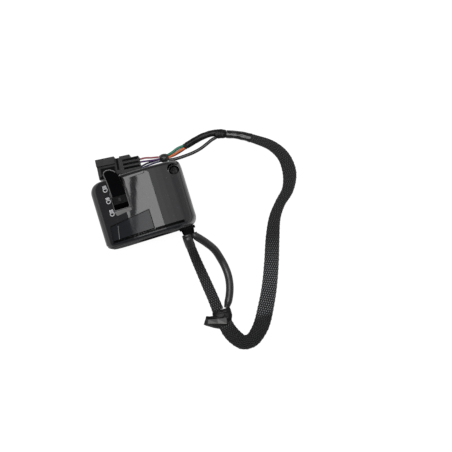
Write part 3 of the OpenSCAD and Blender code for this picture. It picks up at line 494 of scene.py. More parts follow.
class Bench:
    """Modelling by hand: one piece at a time, in edit mode or under modifiers that are then applied."""

    WELD = 0.002 * MM
    FLAT = math.radians(0.4)

    @staticmethod
    def only(piece: bpy.types.Object) -> None:
        """Leaves one piece selected and active.

        Args:
            piece: The piece to work on.
        """
        bpy.ops.object.select_all(action="DESELECT")
        piece.select_set(True)
        bpy.context.view_layer.objects.active = piece

    @staticmethod
    def named(name: str) -> bpy.types.Object:
        """Names the primitive that was just added and puts its place into its mesh.

        Args:
            name: Name of the piece.

        Returns:
            The piece.
        """
        piece = bpy.context.view_layer.objects.active
        piece.name = name
        piece.data.name = name
        Bench.only(piece)
        bpy.ops.object.transform_apply(location=True, rotation=True, scale=True)
        return piece

    @staticmethod
    def copy(node: str, name: str) -> bpy.types.Object:
        """Copies a construction node as a merged mesh of clean faces.

        Args:
            node: The node's name.
            name: Name of the new piece.

        Returns:
            The copy, with its flat facets joined up.
        """
        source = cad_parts[node]
        piece = bpy.data.objects.new(name, source.data.copy())
        piece.data.name = name
        bpy.context.scene.collection.objects.link(piece)
        Bench.only(piece)
        bpy.ops.object.mode_set(mode="EDIT")
        bpy.ops.mesh.select_all(action="SELECT")
        bpy.ops.mesh.customdata_custom_splitnormals_clear()
        bpy.ops.mesh.remove_doubles(threshold=Bench.WELD)
        bpy.ops.mesh.dissolve_limited(angle_limit=Bench.FLAT)
        bpy.ops.object.mode_set(mode="OBJECT")
        return piece

    @staticmethod
    def pick(piece: bpy.types.Object, test: EdgeTest) -> int:
        """Enters edit mode with the edges that pass a test selected.

        Args:
            piece: The piece to work on.
            test: Tells of an edge whether it is wanted.

        Returns:
            How many edges are selected.
        """
        Bench.only(piece)
        bpy.ops.object.mode_set(mode="EDIT")
        bpy.ops.mesh.select_mode(type="EDGE")
        bpy.ops.mesh.select_all(action="DESELECT")
        shape = bmesh.from_edit_mesh(piece.data)
        wanted = [edge for edge in shape.edges if test(edge)]
        for edge in wanted:
            edge.select_set(True)
        bmesh.update_edit_mesh(piece.data)
        return len(wanted)

    @staticmethod
    def bevel(piece: bpy.types.Object, test: EdgeTest, width: float, segments: int = 2) -> None:
        """Rounds the edges that pass a test and marks the rounding, which the finishes paint lighter, part
        wear and part painted highlight.

        Args:
            piece: The piece to work on.
            test: Tells of an edge whether it is rounded.
            width: Width of the rounding along each face.
            segments: Steps across the rounding.
        """
        count = Bench.pick(piece, test)
        if count:
            bpy.ops.mesh.bevel(offset=width, segments=segments, affect="EDGES", clamp_overlap=True)
        shape = bmesh.from_edit_mesh(piece.data)
        layer = shape.faces.layers.float.get("edge_wear_and_highlight") or shape.faces.layers.float.new("edge_wear_and_highlight")
        for face in shape.faces:
            breadth = face.calc_area() / max(edge.calc_length() for edge in face.edges)
            face[layer] = 1.0 if count and face.select and breadth < width else 0.0
        bmesh.update_edit_mesh(piece.data)
        bpy.ops.object.mode_set(mode="OBJECT")

    @staticmethod
    def sharp(angle: float) -> EdgeTest:
        """A test for edges, convex or hollow, sharper than so many degrees."""
        limit = math.radians(angle)
        return lambda edge: len(edge.link_faces) == 2 and edge.calc_face_angle(0.0) > limit

    @staticmethod
    def smooth(piece: bpy.types.Object, angle: float = 34.0) -> None:
        """Shades a piece smooth up to an angle, with the large faces kept flat.

        Args:
            piece: The piece to work on.
            angle: Steepest edge that is smoothed, in degrees.
        """
        Bench.only(piece)
        bpy.ops.object.shade_smooth_by_angle(angle=math.radians(angle), keep_sharp_edges=False)
        change = piece.modifiers.new("normals", "WEIGHTED_NORMAL")
        change.keep_sharp = True
        bpy.ops.object.modifier_apply(modifier=change.name)

    @staticmethod
    def remould(node: str, ending: str, angle: float, edge: float, segments: int = 2) -> bpy.types.Object:
        """Copies a construction node with its sharp edges rounded and its faces smoothed.

        Args:
            node: The node's name.
            ending: What the copy's name adds to the node's.
            angle: Edges sharper than this are rounded, in degrees.
            edge: Width of the rounding.
            segments: Steps across the rounding.

        Returns:
            The copy.
        """
        piece = Bench.copy(node, node + ending)
        Bench.bevel(piece, Bench.sharp(angle), edge, segments)
        Bench.smooth(piece)
        return piece

    @staticmethod
    def mark(piece: bpy.types.Object, name: str, values: Sequence[float]) -> None:
        """Gives each face of a piece its own number, under a name that the finishes read."""
        piece.data.attributes.new(name, "FLOAT", "FACE").data.foreach_set("value", values)

    @staticmethod
    def project(piece: bpy.types.Object, target: str, height: float) -> None:
        """Drops a level piece straight down onto another and trims what misses it.

        Args:
            piece: The piece, above its target.
            target: Name of the piece that it comes to lie on.
            height: How far above the target's surface it lies.
        """
        Bench.only(piece)
        margin = 0.05 * MM
        missed_z = max(v.co.z for v in piece.data.vertices) - margin
        wrap = piece.modifiers.new("print", "SHRINKWRAP")
        wrap.target = bpy.data.objects[target]
        wrap.wrap_method = "PROJECT"
        wrap.use_project_z = True
        wrap.use_negative_direction = True
        wrap.use_positive_direction = False
        wrap.offset = height
        bpy.ops.object.modifier_apply(modifier=wrap.name)
        if Bench.pick(piece, lambda edge: any(v.co.z > missed_z for v in edge.verts)):
            bpy.ops.mesh.delete(type="EDGE")
        bpy.ops.object.mode_set(mode="OBJECT")

    @staticmethod
    def mesh(name: str, corners: Sequence[Vector], faces: Sequence[Sequence[int]]) -> bpy.types.Object:
        """Makes a piece of soft goods from its corners and faces.

        Args:
            name: Name of the piece.
            corners: Places of the corners.
            faces: Corners of each face, counted from 0.

        Returns:
            The piece, shaded smooth.
        """
        data = bpy.data.meshes.new(name)
        data.from_pydata([tuple(c) for c in corners], [], faces)
        data.shade_smooth()
        piece = bpy.data.objects.new(name, data)
        bpy.context.scene.collection.objects.link(piece)
        return piece

    @staticmethod
    def seat(piece: bpy.types.Object, body: str, finish: Finish, *nodes: str) -> bpy.types.Object:
        """Dresses a finished piece and sets it on its body.

        Args:
            piece: The finished piece.
            body: Body that it moves with.
            finish: Its finish.
            nodes: Construction nodes that it stands for.

        Returns:
            The piece.
        """
        finish.paint(piece)
        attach(piece, body)
        if nodes:
            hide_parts(*nodes)
        LOG.info("%s rides on %s with %d faces", piece.name, body, len(piece.data.polygons))
        return piece


@dataclass(frozen=True)
class Station:
    """One place along a cord: its middle, its level side, its rise, and its width and thickness there."""

    middle: Vector
    side: Vector
    rise: Vector
    width: float
    thickness: float
    along: float

    def skin(self, turn: float, out: float = 0.0) -> Vector:
        """A point on the cord's surface.

        Args:
            turn: Share of the way round, evenly spaced over the surface, from the level side.
            out: Distance outside the surface.

        Returns:
            The point.
        """
        half_w, half_t = self.width / 2 + out, self.thickness / 2 + out
        angle = even_turn(turn, half_w / half_t)
        return self.middle + self.side * (half_w * math.cos(angle)) + self.rise * (half_t * math.sin(angle))


def even_turn(turn: float, ratio: float, parts: int = 24) -> float:
    """Angle on an oval at which a share of its outline has been passed.

    Args:
        turn: Share of the outline, any number of times round.
        ratio: The oval's width over its thickness.
        parts: Straight parts that stand for a quarter of the outline.

    Returns:
        The oval's own angle in radians.
    """
    quarter, rest = divmod(turn * 4.0, 1.0)
    mirrored = int(quarter) % 2 == 1
    share = 1.0 - rest if mirrored else rest
    lengths = [0.0]
    for k in range(parts):
        a, b = (k * math.pi / 2 / parts, (k + 1) * math.pi / 2 / parts)
        step = math.hypot(ratio * (math.cos(a) - math.cos(b)), math.sin(a) - math.sin(b))
        lengths.append(lengths[-1] + step)
    goal = share * lengths[-1]
    k = next((i for i in range(parts) if lengths[i + 1] >= goal), parts - 1)
    inner = (k + (goal - lengths[k]) / (lengths[k + 1] - lengths[k])) * math.pi / 2 / parts
    return (quarter + (1.0 if mirrored else 0.0)) * math.pi / 2 + (-inner if mirrored else inner)


@dataclass(frozen=True)
class Route:
    """A cord's line: points in millimetres, with the width and thickness there."""

    points: Sequence[Sequence[float]]
    splits: int = 24

    @staticmethod
    def even(points: Sequence[Sequence[float]], diameter: float) -> "Route":
        """A route of one diameter, in millimetres."""
        return Route([(*p, diameter, diameter) for p in points])

    def stations(self, step: float) -> list[Station]:
        """Follows one smooth curve through the points.

        Args:
            step: Distance between stations, in metres.

        Returns:
            Evenly spaced stations from the first point to the last.
        """
        rows = [[value * MM for value in p] for p in self.points]
        first = [2 * a - b for a, b in zip(rows[0], rows[1])]
        last = [2 * a - b for a, b in zip(rows[-1], rows[-2])]
        knots = [first, *rows, last]
        fine: list[list[float]] = []
        for i in range(1, len(knots) - 2):
            spans = list(zip(*knots[i - 1:i + 3]))
            for k in range(self.splits):
                fine.append([self.curve(*span, k / self.splits) for span in spans])
        fine.append(rows[-1])
        run = [0.0]
        for a, b in zip(fine, fine[1:]):
            run.append(run[-1] + math.dist(a[:3], b[:3]))
        count = max(2, round(run[-1] / step))
        kept, at = [], 0
        for n in range(count + 1):
            goal = run[-1] * n / count
            while at < len(run) - 2 and run[at + 1] < goal:
                at += 1
            share = (goal - run[at]) / (run[at + 1] - run[at])
            kept.append(([a + (b - a) * share for a, b in zip(fine[at], fine[at + 1])], goal))
        return [self.station(kept, i) for i in range(len(kept))]

    @staticmethod
    def curve(before: float, start: float, end: float, after: float, share: float) -> float:
        """Value on a smooth curve through four values, between the middle two.

        Args:
            before: The value before the start.
            start: The value at share 0.
            end: The value at share 1.
            after: The value past the end.
            share: How far along the value lies.

        Returns:
            The value.
        """
        bend = (2 * before - 5 * start + 4 * end - after) * share
        twist = (3 * start - before - 3 * end + after) * share * share
        return start + share * (end - before + bend + twist) / 2

    @staticmethod
    def station(kept: list[tuple[list[float], float]], i: int) -> Station:
        """The station at one of the evenly spaced places.

        Args:
            kept: Place, width and thickness of each station, and how far along it lies.
            i: Which station it is.

        Returns:
            The station, heading from the one before to the one after.
        """
        place, along = kept[i]
        ahead = Vector(kept[min(i + 1, len(kept) - 1)][0][:3])
        behind = Vector(kept[max(i - 1, 0)][0][:3])
        heading = (ahead - behind).normalized()
        side = Vector((0.0, 0.0, 1.0)).cross(heading).normalized()
        return Station(Vector(place[:3]), side, heading.cross(side), place[3], place[4], along)

    def length(self) -> float:
        """Length of the line in metres."""
        return self.stations(MM)[-1].along

    def path(self, step: float = 1.5 * MM) -> list[Point]:
        """The line's points, close enough together to have its length."""
        return [tuple(s.middle) for s in self.stations(step)]


Shape = Callable[[Station, float], float]


@dataclass(frozen=True)
class Weave:
    """Yarns of a braided sleeve: how many in each direction, how far apart they cross, and their section."""

    yarns: int = 16
    pitch: float = 1.6 * MM
    yarn_w: float = 1.15 * MM
    yarn_t: float = 0.3 * MM
    rise: float = 0.55
    sunk: float = 0.75
    oval: float = 0.64


class Sweep:
    """Closed meshes swept along a route."""

    @staticmethod
    def skin(name: str, stations: Sequence[Station], sides: int, out: Shape) -> bpy.types.Object:
        """Sweeps one closed tube.

        Args:
            name: Name of the piece.
            stations: Places along the route.
            sides: Points round the tube.
            out: Distance outside the route's own surface, by station and by share of the way round.

        Returns:
            The tube.
        """
        corners = [s.skin(k / sides, out(s, k / sides)) for s in stations for k in range(sides)]
        faces = []
        for ring in range(0, (len(stations) - 1) * sides, sides):
            for i in range(sides):
                a, b = ring + i, ring + (i + 1) % sides
                faces.append([a, b, b + sides, a + sides])
        faces.append(list(range(sides))[::-1])
        faces.append([(len(stations) - 1) * sides + i for i in range(sides)])
        return Bench.mesh(name, corners, faces)

    @staticmethod
    def braid(name: str, route: Route, weave: Weave) -> bpy.types.Object:
        """Plaits flat yarns over and under each other round a core.

        Args:
            name: Name of the piece.
            route: The sleeve's line.
            weave: Its yarns.

        Returns:
            The sleeve, with the height of each yarn in the attribute float_height.
        """
        stations = route.stations(weave.pitch / 3)
        corners: list[Vector] = []
        heights: list[float] = []
        faces: list[list[int]] = []
        for hand in (1, -1):
            for yarn in range(weave.yarns):
                start = len(corners)
                for s in stations:
                    turn = yarn / weave.yarns + hand * s.along / (2 * weave.yarns * weave.pitch)
                    wave = hand * math.cos(math.pi * s.along / weave.pitch)
                    lift = (weave.rise * wave - weave.sunk) * weave.yarn_t
                    half = weave.yarn_w / 2 / (s.width + s.thickness) * weave.oval
                    up = weave.yarn_t / 2
                    for shift, out in ((-half, 0.0), (0.0, up), (half, 0.0), (0.0, -up)):
                        corners.append(s.skin(turn + shift, lift + out))
                        heights.append(max(0.0, wave) if out > 0 else 0.3 * max(0.0, wave))
                for j in range(len(stations) - 1):
                    for k in range(4):
                        a, b = start + 4 * j + k, start + 4 * j + (k + 1) % 4
                        faces.append([b, a, a + 4, b + 4])
                faces.append([start + k for k in range(4)])
                faces.append([start + 4 * (len(stations) - 1) + k for k in (3, 2, 1, 0)])
        core_out = -1.5 * weave.yarn_t
        core = Sweep.skin(name + "_core", route.stations(2 * weave.pitch), 20, lambda s, turn: core_out)
        piece = Bench.mesh(name, corners, faces)
        layer = piece.data.attributes.new("float_height", "FLOAT", "POINT")
        layer.data.foreach_set("value", heights)
        Bench.only(piece)
        core.select_set(True)
        bpy.ops.object.join()
        return piece


@dataclass
class Harness:
    """Sleeves, tubes, tapes and leads from the housing's grommet round to the plug."""

    sleeve_route: Route = Route((
        (27.75, 22, 0, 6.4, 5), (29.6, 22, 0, 6.4, 5), (32, 22, 0, 6.4, 5), (39, 22.4, -4.5, 6.6, 5),
        (47, 23, -11.3, 7, 4.8), (56, 24, -15.2, 7.4, 4.6), (66, 25.2, -15.7, 7.8, 4.4),
        (76, 26.4, -15.7, 8, 4.4), (85, 27.2, -15.7, 8.4, 4.4)))
    tube_route: Route = Route.even((
        (27.75, 27.4, 0), (28.8, 27.4, 0), (30, 27.4, 0), (36.5, 33, -4.8), (43, 37.4, -11),
        (50, 39.6, -14.8), (57, 41, -15.9), (64, 41.3, -15.9), (71, 40.2, -15.9), (78, 37.6, -15.9),
        (85, 33.6, -15.9)), 4)
    tape_route: Route = Route((
        (85, 29.4, -15.1, 14, 5.4), (89.5, 29.4, -15.1, 13.4, 5.4), (94, 29.6, -15.2, 11.6, 5.2)))
    flag_rows: Sequence[Sequence[Point]] = (
        ((86.4, 18.1, -16), (87.2, 20.1, -15), (88, 25.8, -13.4), (89.6, 31.9, -13.2), (92, 33.9, -14.2)),
        ((88.2, 17, -15.6), (89.1, 18.9, -13.9), (90.5, 25.3, -12.75), (91.8, 31.3, -12.6),
         (93.3, 33.3, -13.8)),
        ((90.4, 15.4, -15.6), (91.7, 17.8, -13.5), (93.5, 24.4, -12.35), (95.6, 30.5, -12.2),
         (95.8, 31.9, -13.8)),
        ((91.2, 14.9, -16.4), (92.4, 16.3, -15.6), (94.9, 21.9, -14.6), (97.5, 29.3, -14.4),
         (97, 30.9, -14.8)),
        ((91.5, 14.5, -16.9), (92.7, 15.9, -16.8), (96, 21.1, -16.6), (99, 27.1, -16.4), (98.6, 30.2, -16)))
    main_route: Route = Route((
        (94, 29.5, -15.6, 10.2, 4.6), (97, 29.8, -15.6, 10.6, 4.6), (101.4, 30.9, -15.6, 11, 4.6),
        (106.6, 33.4, -15.6, 11, 4.6), (111.4, 37.4, -15.6, 10.4, 4.6), (112.2, 42.4, -15.6, 10.4, 4.6),
        (110.4, 46.8, -15.6, 10.8, 4.6), (104, 53.4, -15.6, 11.6, 4.6), (95, 59, -15.6, 11.6, 4.6),
        (80.3, 66.6, -15.6, 11, 4.6), (63.7, 73.4, -15.6, 10.6, 4.6), (47, 79.4, -15.6, 10, 4.8),
        (34, 85, -15.4, 8.4, 5.2), (25, 91.8, -15.2, 7.4, 5.6), (17, 100, -15.4, 8.4, 5.2),
        (6, 104.6, -15.6, 10, 4.8), (-6, 104, -15.6, 9, 4.8), (-16, 98.2, -15.6, 7.6, 4.8),
        (-23.5, 88.8, -15.6, 6.4, 4.8), (-29.5, 79.2, -15.6, 5.6, 4.6), (-33.6, 69.6, -15.7, 5.2, 4.4)))
    fork_route: Route = Route((
        (-33.6, 69.6, -15.3, 7.2, 5.2), (-35, 65.6, -15.3, 7.2, 5.2), (-35.8, 62, -15.4, 7, 5)))
    tail_route: Route = Route((
        (-36.8, 62, -15.9, 4.2, 4), (-37.2, 56, -15.9, 4.2, 4), (-36.4, 49.6, -15.9, 4.2, 4),
        (-34.9, 43.4, -15.9, 4.2, 4), (-33.5, 38, -15.9, 4.4, 4)))
    tail_root: Sequence[float] = (-35.6, 65.0, -15.5, 4.4, 4)
    cable_route: Route = Route.even((
        (-33.6, 62, -16.7), (-32.6, 58, -16.7), (-30.7, 53.4, -16.7), (-29, 48.6, -16.7),
        (-27.9, 43.4, -16.7), (-27.4, 38, -16.7), (-27.2, 33, -16.7), (-27.3, 28.6, -16.7),
        (-27.7, 24.8, -16.7)), 2.4)
    bundle_route: Route = Route((
        (-29.6, 25.2, -15.4, 5.8, 4.8), (-30, 22, -15.1, 6.2, 5.6), (-30.4, 18.9, -15.4, 5.4, 4.8)))
    tail_leads: dict[str, tuple[Finish, Sequence[Point]]] = field(default_factory=lambda: {
        "green_lead": (Finish.GREEN, (
            (-34.5, 37.9, -15), (-33.9, 33.2, -14.9), (-32.5, 29.4, -14.8), (-31.3, 25.3, -14.7))),
        "orange_lead": (Finish.ORANGE, (
            (-32.5, 38.1, -15), (-31.6, 34, -14.9), (-30.4, 30, -14.8), (-29.4, 25.1, -14.7))),
        "white_lead": (Finish.WHITE, (
            (-34.2, 37.9, -17.1), (-33, 33.4, -17.1), (-32, 29.6, -17.1), (-31.5, 25.3, -16.9))),
        "violet_lead": (Finish.VIOLET, (
            (-32.4, 38.1, -17.1), (-31.1, 33.8, -17.1), (-30.2, 29.8, -17.1), (-29.7, 25.1, -16.9))),
    })
    plug_leads: dict[str, tuple[Finish, Sequence[Point]]] = field(default_factory=lambda: {
        "pink_lead": (Finish.PINK, (
            (-31.8, 18.7, -14.9), (-32.7, 13.8, -14.3), (-33.8, 9.4, -13.6), (-34, 5.4, -13))),
        "navy_lead": (Finish.NAVY, (
            (-30.2, 18.9, -16.8), (-30.2, 13.6, -16.6), (-29.8, 9, -15), (-28.8, 5, -13))),
        "blue_lead": (Finish.BLUE, (
            (-28.6, 19, -15.4), (-28.6, 14.6, -15), (-28.1, 10, -13.6), (-27.3, 4.9, -12))),
        "purple_lead": (Finish.VIOLET, (
            (-30.2, 18.8, -13.9), (-30.6, 14, -13.4), (-31.2, 9.8, -12.2), (-31.7, 5.3, -10.6))),
    })
    tail_lead_d: float = 1.7
    plug_lead_d: float = 1.3
    sleeve_w: float = 7.4 * MM
    main_w: float = 10.0 * MM
    tube_d: float = 4.0 * MM
    cable_d: float = 2.4 * MM
    main_weave: Weave = Weave()
    lower_weave: Weave = Weave(yarns=12)
    tail_weave: Weave = Weave(10, 1.3 * MM, 0.85 * MM, 0.24 * MM)
    boot_l: float = 9.0 * MM
    wrap_l: float = 18.0 * MM
    tail_open_l: float = 2.0 * MM
    tube_swell: float = 0.75 * MM
    tube_ends: float = 5.0 * MM
    tape_lap: float = 3.2 * MM
    flag_t: float = 0.35 * MM
    # The row of the flag whose facets get painted glints, and the glint on each facet's two triangles.
    bright_row: int = 1
    facet_glints: Sequence[tuple[float, float]] = ((0.02, 0.05), (0.24, 0.08), (0.3, 0.12), (0.02, 0.0))

    def build(self, plug: Sequence[bpy.types.Object]) -> None:
        """Lays the whole harness and logs the lengths of its free cords.

        Args:
            plug: The plug's pieces, which the main sleeve ends in.
        """
        join = self.tape("join_tape_wrap", self.tape_route, Finish.WOUND, "join_tape", 5)
        self.lower_run()
        fork = self.tape("fork_tape_wrap", self.fork_route, Finish.WOUND, "fork_tape", 9, (0.5, 0.1))
        on_main = [join, self.flag(), fork]
        on_main.append(self.tape("bundle_tape_wrap", self.bundle_route, Finish.WRAP, "bundle_tape", 13))
        tail = Sweep.braid("tail_braid", self.tail_route, self.tail_weave)
        on_main.append(Bench.seat(tail, HOUSING, Finish.BRAID, "tail_sleeve"))
        on_main.append(self.tail_wrap())
        on_main.extend(self.leads())
        on_main.append(self.fork_wrap())
        self.upper_run()
        braid = Sweep.braid("main_braid", self.main_route, self.main_weave)
        Bench.seat(braid, HOUSING, Finish.BRAID, "main_sleeve")
        self.declare(braid, self.main_route, self.main_w, "plug", "limp", [*on_main, *plug])

    @staticmethod
    def declare(piece: bpy.types.Object, route: Route, diameter: float, far_end: str, stiffness: str,
                with_pieces: Iterable[bpy.types.Object] = ()) -> None:
        """Logs the length of a free cord.

        Args:
            piece: The cord's mesh.
            route: The line that it follows.
            diameter: Its diameter, or a flat cord's width, in metres. Not used.
            far_end: What its far end is. Not used.
            stiffness: How it bends. Not used.
            with_pieces: The separate pieces on it. Not used.
        """
        path = route.path()
        route.length()
        LOG.info("%s is %.1f mm long", piece.name, route.length() / MM)

    def lower_run(self) -> None:
        """Makes the braided sleeve with its smooth boot, and the side tube, from the grommet to the tape."""
        braid = Sweep.braid("lower_braid", self.sleeve_route, self.lower_weave)
        Bench.seat(braid, HOUSING, Finish.BRAID, "lower_sleeve")
        start = [s for s in self.sleeve_route.stations(0.5 * MM) if s.along < self.boot_l]
        boot = Sweep.skin("lower_boot", start, 40, self.boot_skin)
        Bench.seat(boot, HOUSING, Finish.TUBE)
        self.declare(braid, self.sleeve_route, self.sleeve_w, "object", "limp", [boot])
        tube = Sweep.skin("side_tube_skin", self.tube_route.stations(0.8 * MM), 32, self.tube_skin())
        Bench.seat(tube, HOUSING, Finish.TUBE, "side_tube")
        self.declare(tube, self.tube_route, self.tube_d, "object", "medium")

    def tube_skin(self) -> Shape:
        """Says how far the loose tube swells outside its own line's surface.

        Returns:
            The swelling, which is none at the tube's ends and on the floor.
        """
        total = self.tube_route.length()

        def swell(station: Station, turn: float) -> float:
            """Distance outside the surface at one place.

            Args:
                station: Place along the tube.
                turn: Share of the way round.

            Returns:
                The distance.
            """
            share = min(1.0, min(station.along, total - station.along) / self.tube_ends)
            free = 1.0 - max(0.0, -math.sin(math.tau * turn))
            return self.tube_swell * free * share * share * (3.0 - 2.0 * share)

        return swell

    @staticmethod
    def wrinkle(station: Station, turn: float, along: float, around: float) -> Vector:
        """Place in the noise for one point of a wrinkled skin.

        Args:
            station: Place along the cord.
            turn: Share of the way round.
            along: Wrinkles in a metre of the cord.
            around: How close the wrinkles lie round it.

        Returns:
            The place.
        """
        angle = math.tau * turn
        return Vector((station.along * along, around * math.cos(angle), around * math.sin(angle)))

    def boot_skin(self, station: Station, turn: float) -> float:
        """Distance of the shrunk boot's skin outside the sleeve, thinning out at its free end.

        Args:
            station: Place along the sleeve.
            turn: Share of the way round.

        Returns:
            The distance.
        """
        wave = noise.noise(self.wrinkle(station, turn, 260, 1.0))
        left = max(0.0, 1.0 - station.along / self.boot_l)
        return (0.12 + 0.12 * min(1.0, 8 * left) + 0.1 * wave) * MM

    def fork_wrap(self) -> bpy.types.Object:
        """Makes the stretched tape over the main sleeve's last stretch, before the fork.

        Returns:
            The tape.
        """
        end = self.main_route.length()
        last = [s for s in self.main_route.stations(0.4 * MM) if s.along > end - self.wrap_l]
        wrap = Sweep.skin("fork_wrap", last, 48, self.wrap_skin)
        return Bench.seat(wrap, HOUSING, Finish.TAPE)

    def tail_wrap(self) -> bpy.types.Object:
        """Makes the stretched tape over the tail sleeve, from inside the fork to short of its open end.

        Returns:
            The tape.
        """
        route = Route((self.tail_root, *self.tail_route.points))
        end = route.length() - self.tail_open_l
        covered = [s for s in route.stations(0.4 * MM) if s.along < end]
        wrap = Sweep.skin("tail_wrap", covered, 40, self.wrap_skin)
        return Bench.seat(wrap, HOUSING, Finish.WOUND)

    def wrap_skin(self, station: Station, turn: float) -> float:
        """Distance of the stretched tape outside the sleeve."""
        return (0.34 - 0.5 * abs(noise.noise(self.wrinkle(station, turn, 190, 1.3)))) * MM

    def upper_run(self) -> None:
        """Makes the thin cable that leaves the fork beside the tail sleeve."""
        cable = Sweep.skin("upper_cable_skin", self.cable_route.stations(0.7 * MM), 24, lambda s, turn: 0.0)
        Bench.seat(cable, HOUSING, Finish.TUBE, "upper_cable")
        self.declare(cable, self.cable_route, self.cable_d, "object", "limp")

    def leads(self) -> list[bpy.types.Object]:
        """Makes the coloured leads on both sides of the bundle's tape.

        Returns:
            The leads.
        """
        made = []
        for group, diameter in ((self.tail_leads, self.tail_lead_d), (self.plug_leads, self.plug_lead_d)):
            for node, (finish, points) in group.items():
                stations = Route.even(points, diameter).stations(0.45 * MM)
                lead = Sweep.skin(node + "_skin", stations, 20, lambda s, turn: 0.0)
                made.append(Bench.seat(lead, HOUSING, finish, node))
        return made

    def tape(self, name: str, route: Route, finish: Finish, node: str, seed: int,
             tight: Span = (0.0, 0.0)) -> bpy.types.Object:
        """Wraps tape round a joint in overlapping, wrinkled turns.

        Args:
            name: Name of the piece.
            route: The joint's line.
            finish: The tape's finish.
            node: Construction node that it stands for.
            seed: Start of its wrinkles.
            tight: How far its first and last turns are drawn in, in millimetres.

        Returns:
            The wrapped tape.
        """
        total = route.length()

        def crease(station: Station, turn: float) -> float:
            """Height of the turns' steps and of the wrinkles at one place.

            Args:
                station: Place along the joint.
                turn: Share of the way round.

            Returns:
                The height.
            """
            step = (station.along / self.tape_lap + turn) % 1.0
            spot = self.wrinkle(station, turn, 260, 1.6).yzx
            ridge = abs(noise.noise(spot + Vector((seed, 0, 0))))
            small = noise.noise(spot * 2.7 + Vector((0, seed, 0)))
            end = min(station.along, total - station.along) / MM
            taper = 0.55 * max(0.0, 1.0 - end / 1.8)
            drawn = tight[0] + (tight[1] - tight[0]) * station.along / total
            return (0.12 * step - 0.4 * ridge + 0.05 * small - taper - drawn) * MM

        piece = Sweep.skin(name, route.stations(0.22 * MM), 72, crease)
        return Bench.seat(piece, HOUSING, finish, node)

    def flag(self) -> bpy.types.Object:
        """Makes the tape's free end, folded over the joint and standing out stiffly beside it, with glints
        painted onto one row of its facets.

        Returns:
            The flag.
        """
        row = len(self.flag_rows[0])
        corners = [Vector(point) * MM for points in self.flag_rows for point in points]
        faces, bright = [], []
        for i in range(len(self.flag_rows) - 1):
            for j, pair in enumerate(self.facet_glints):
                a, b, c, d = i * row + j, i * row + j + 1, (i + 1) * row + j + 1, (i + 1) * row + j
                faces += [[a, c, d], [a, b, c]]
                bright += pair if i == self.bright_row else (0.0, 0.0)
        piece = Bench.mesh("tape_flag_sheet", corners, faces)
        # The bright row's facets are painted lighter, as painted glints.
        Bench.mark(piece, "painted_highlight", bright)
        Bench.only(piece)
        bpy.ops.object.mode_set(mode="EDIT")
        bpy.ops.mesh.select_all(action="SELECT")
        bpy.ops.mesh.subdivide(number_cuts=4)
        bpy.ops.object.mode_set(mode="OBJECT")
        skin = piece.modifiers.new("thickness", "SOLIDIFY")
        skin.thickness = self.flag_t
        skin.offset = 0.0
        bpy.ops.object.modifier_apply(modifier=skin.name)
        Bench.smooth(piece, 18.0)
        return Bench.seat(piece, HOUSING, Finish.WOUND, "tape_flag")


@dataclass
class Housing:
    """Both moulded shells, the sunk panel, the screws with their inserts, and the grommet."""

    sharp: float = 38.0
    shell_edge: float = 0.22 * MM
    panel_edge: float = 0.16 * MM
    rubber_sharp: float = 30.0
    rubber_edge: float = 0.4 * MM
    turned_sharp: float = 40.0
    turned_edge: float = 0.08 * MM
    collar_edge: float = 0.33 * MM
    collar_z: float = 31.5 * MM
    end_x: float = 22.2 * MM
    # Box and facing of the collar's end slope, which gets a painted highlight.
    highlight_from: Point = (0.5 * MM, -18.5 * MM, 26.0 * MM)
    highlight_to: Point = (3.4 * MM, -7.0 * MM, 31.5 * MM)
    highlight_facing: float = 0.8
    end_facing: float = 0.6

    def build(self) -> None:
        """Makes and dresses every outer piece of the housing."""
        for node in ("front_shell", "rear_shell"):
            shell = Bench.copy(node, node + "_moulding")
            Bench.bevel(shell, self.on_collar, self.collar_edge, 4)
            Bench.bevel(shell, Bench.sharp(self.sharp), self.shell_edge)
            self.paint_light(shell)
            Bench.smooth(shell)
            Bench.seat(shell, HOUSING, Finish.SHELL, node)
        panel = Bench.remould("side_panel", "_moulding", self.sharp, self.panel_edge)
        Bench.seat(panel, HOUSING, Finish.PANEL, "side_panel")
        grommet = Bench.remould("wire_grommet", "_rubber", self.rubber_sharp, self.rubber_edge, 3)
        Bench.seat(grommet, HOUSING, Finish.RUBBER, "wire_grommet")
        for node, finish in (("clamp_screws", Finish.STEEL), ("threaded_inserts", Finish.BRASS)):
            turned = Bench.remould(node, "_turned", self.turned_sharp, self.turned_edge)
            Bench.seat(turned, HOUSING, finish, node)

    def on_collar(self, edge: bmesh.types.BMEdge) -> bool:
        """Tells whether an edge lies on the top of the rocker's collar."""
        return len(edge.link_faces) == 2 and all(v.co.z > self.collar_z for v in edge.verts)

    def paint_light(self, shell: bpy.types.Object) -> None:
        """Paints a highlight onto the slope at the end of the collar, where it faces along the bar, and
        marks the inboard end as left matt.

        Args:
            shell: One of the shells.
        """
        painted_highlight, dull = [], []
        for face in shell.data.polygons:
            inside = all(a < c < b for a, c, b in zip(self.highlight_from, face.center, self.highlight_to))
            # The collar's end slope is painted lighter, as a painted highlight.
            painted_highlight.append(1.0 if inside and face.normal.x > self.highlight_facing else 0.0)
            at_end = face.center.x > self.end_x and face.normal.x > self.end_facing
            dull.append(1.0 if at_end else 0.0)
        Bench.mark(shell, "painted_highlight", painted_highlight)
        Bench.mark(shell, "dull", dull)


@dataclass(frozen=True)
class Run:
    """One straight strip, in millimetres, and the piece that it lies on; most strips paint shade, one paints
    a highlight.
    """

    target: str
    start: Span
    end: Span
    width: float
    height: float = 0.08
    finish: Finish = Finish.RUBBER
    paint_light: float = 0.0


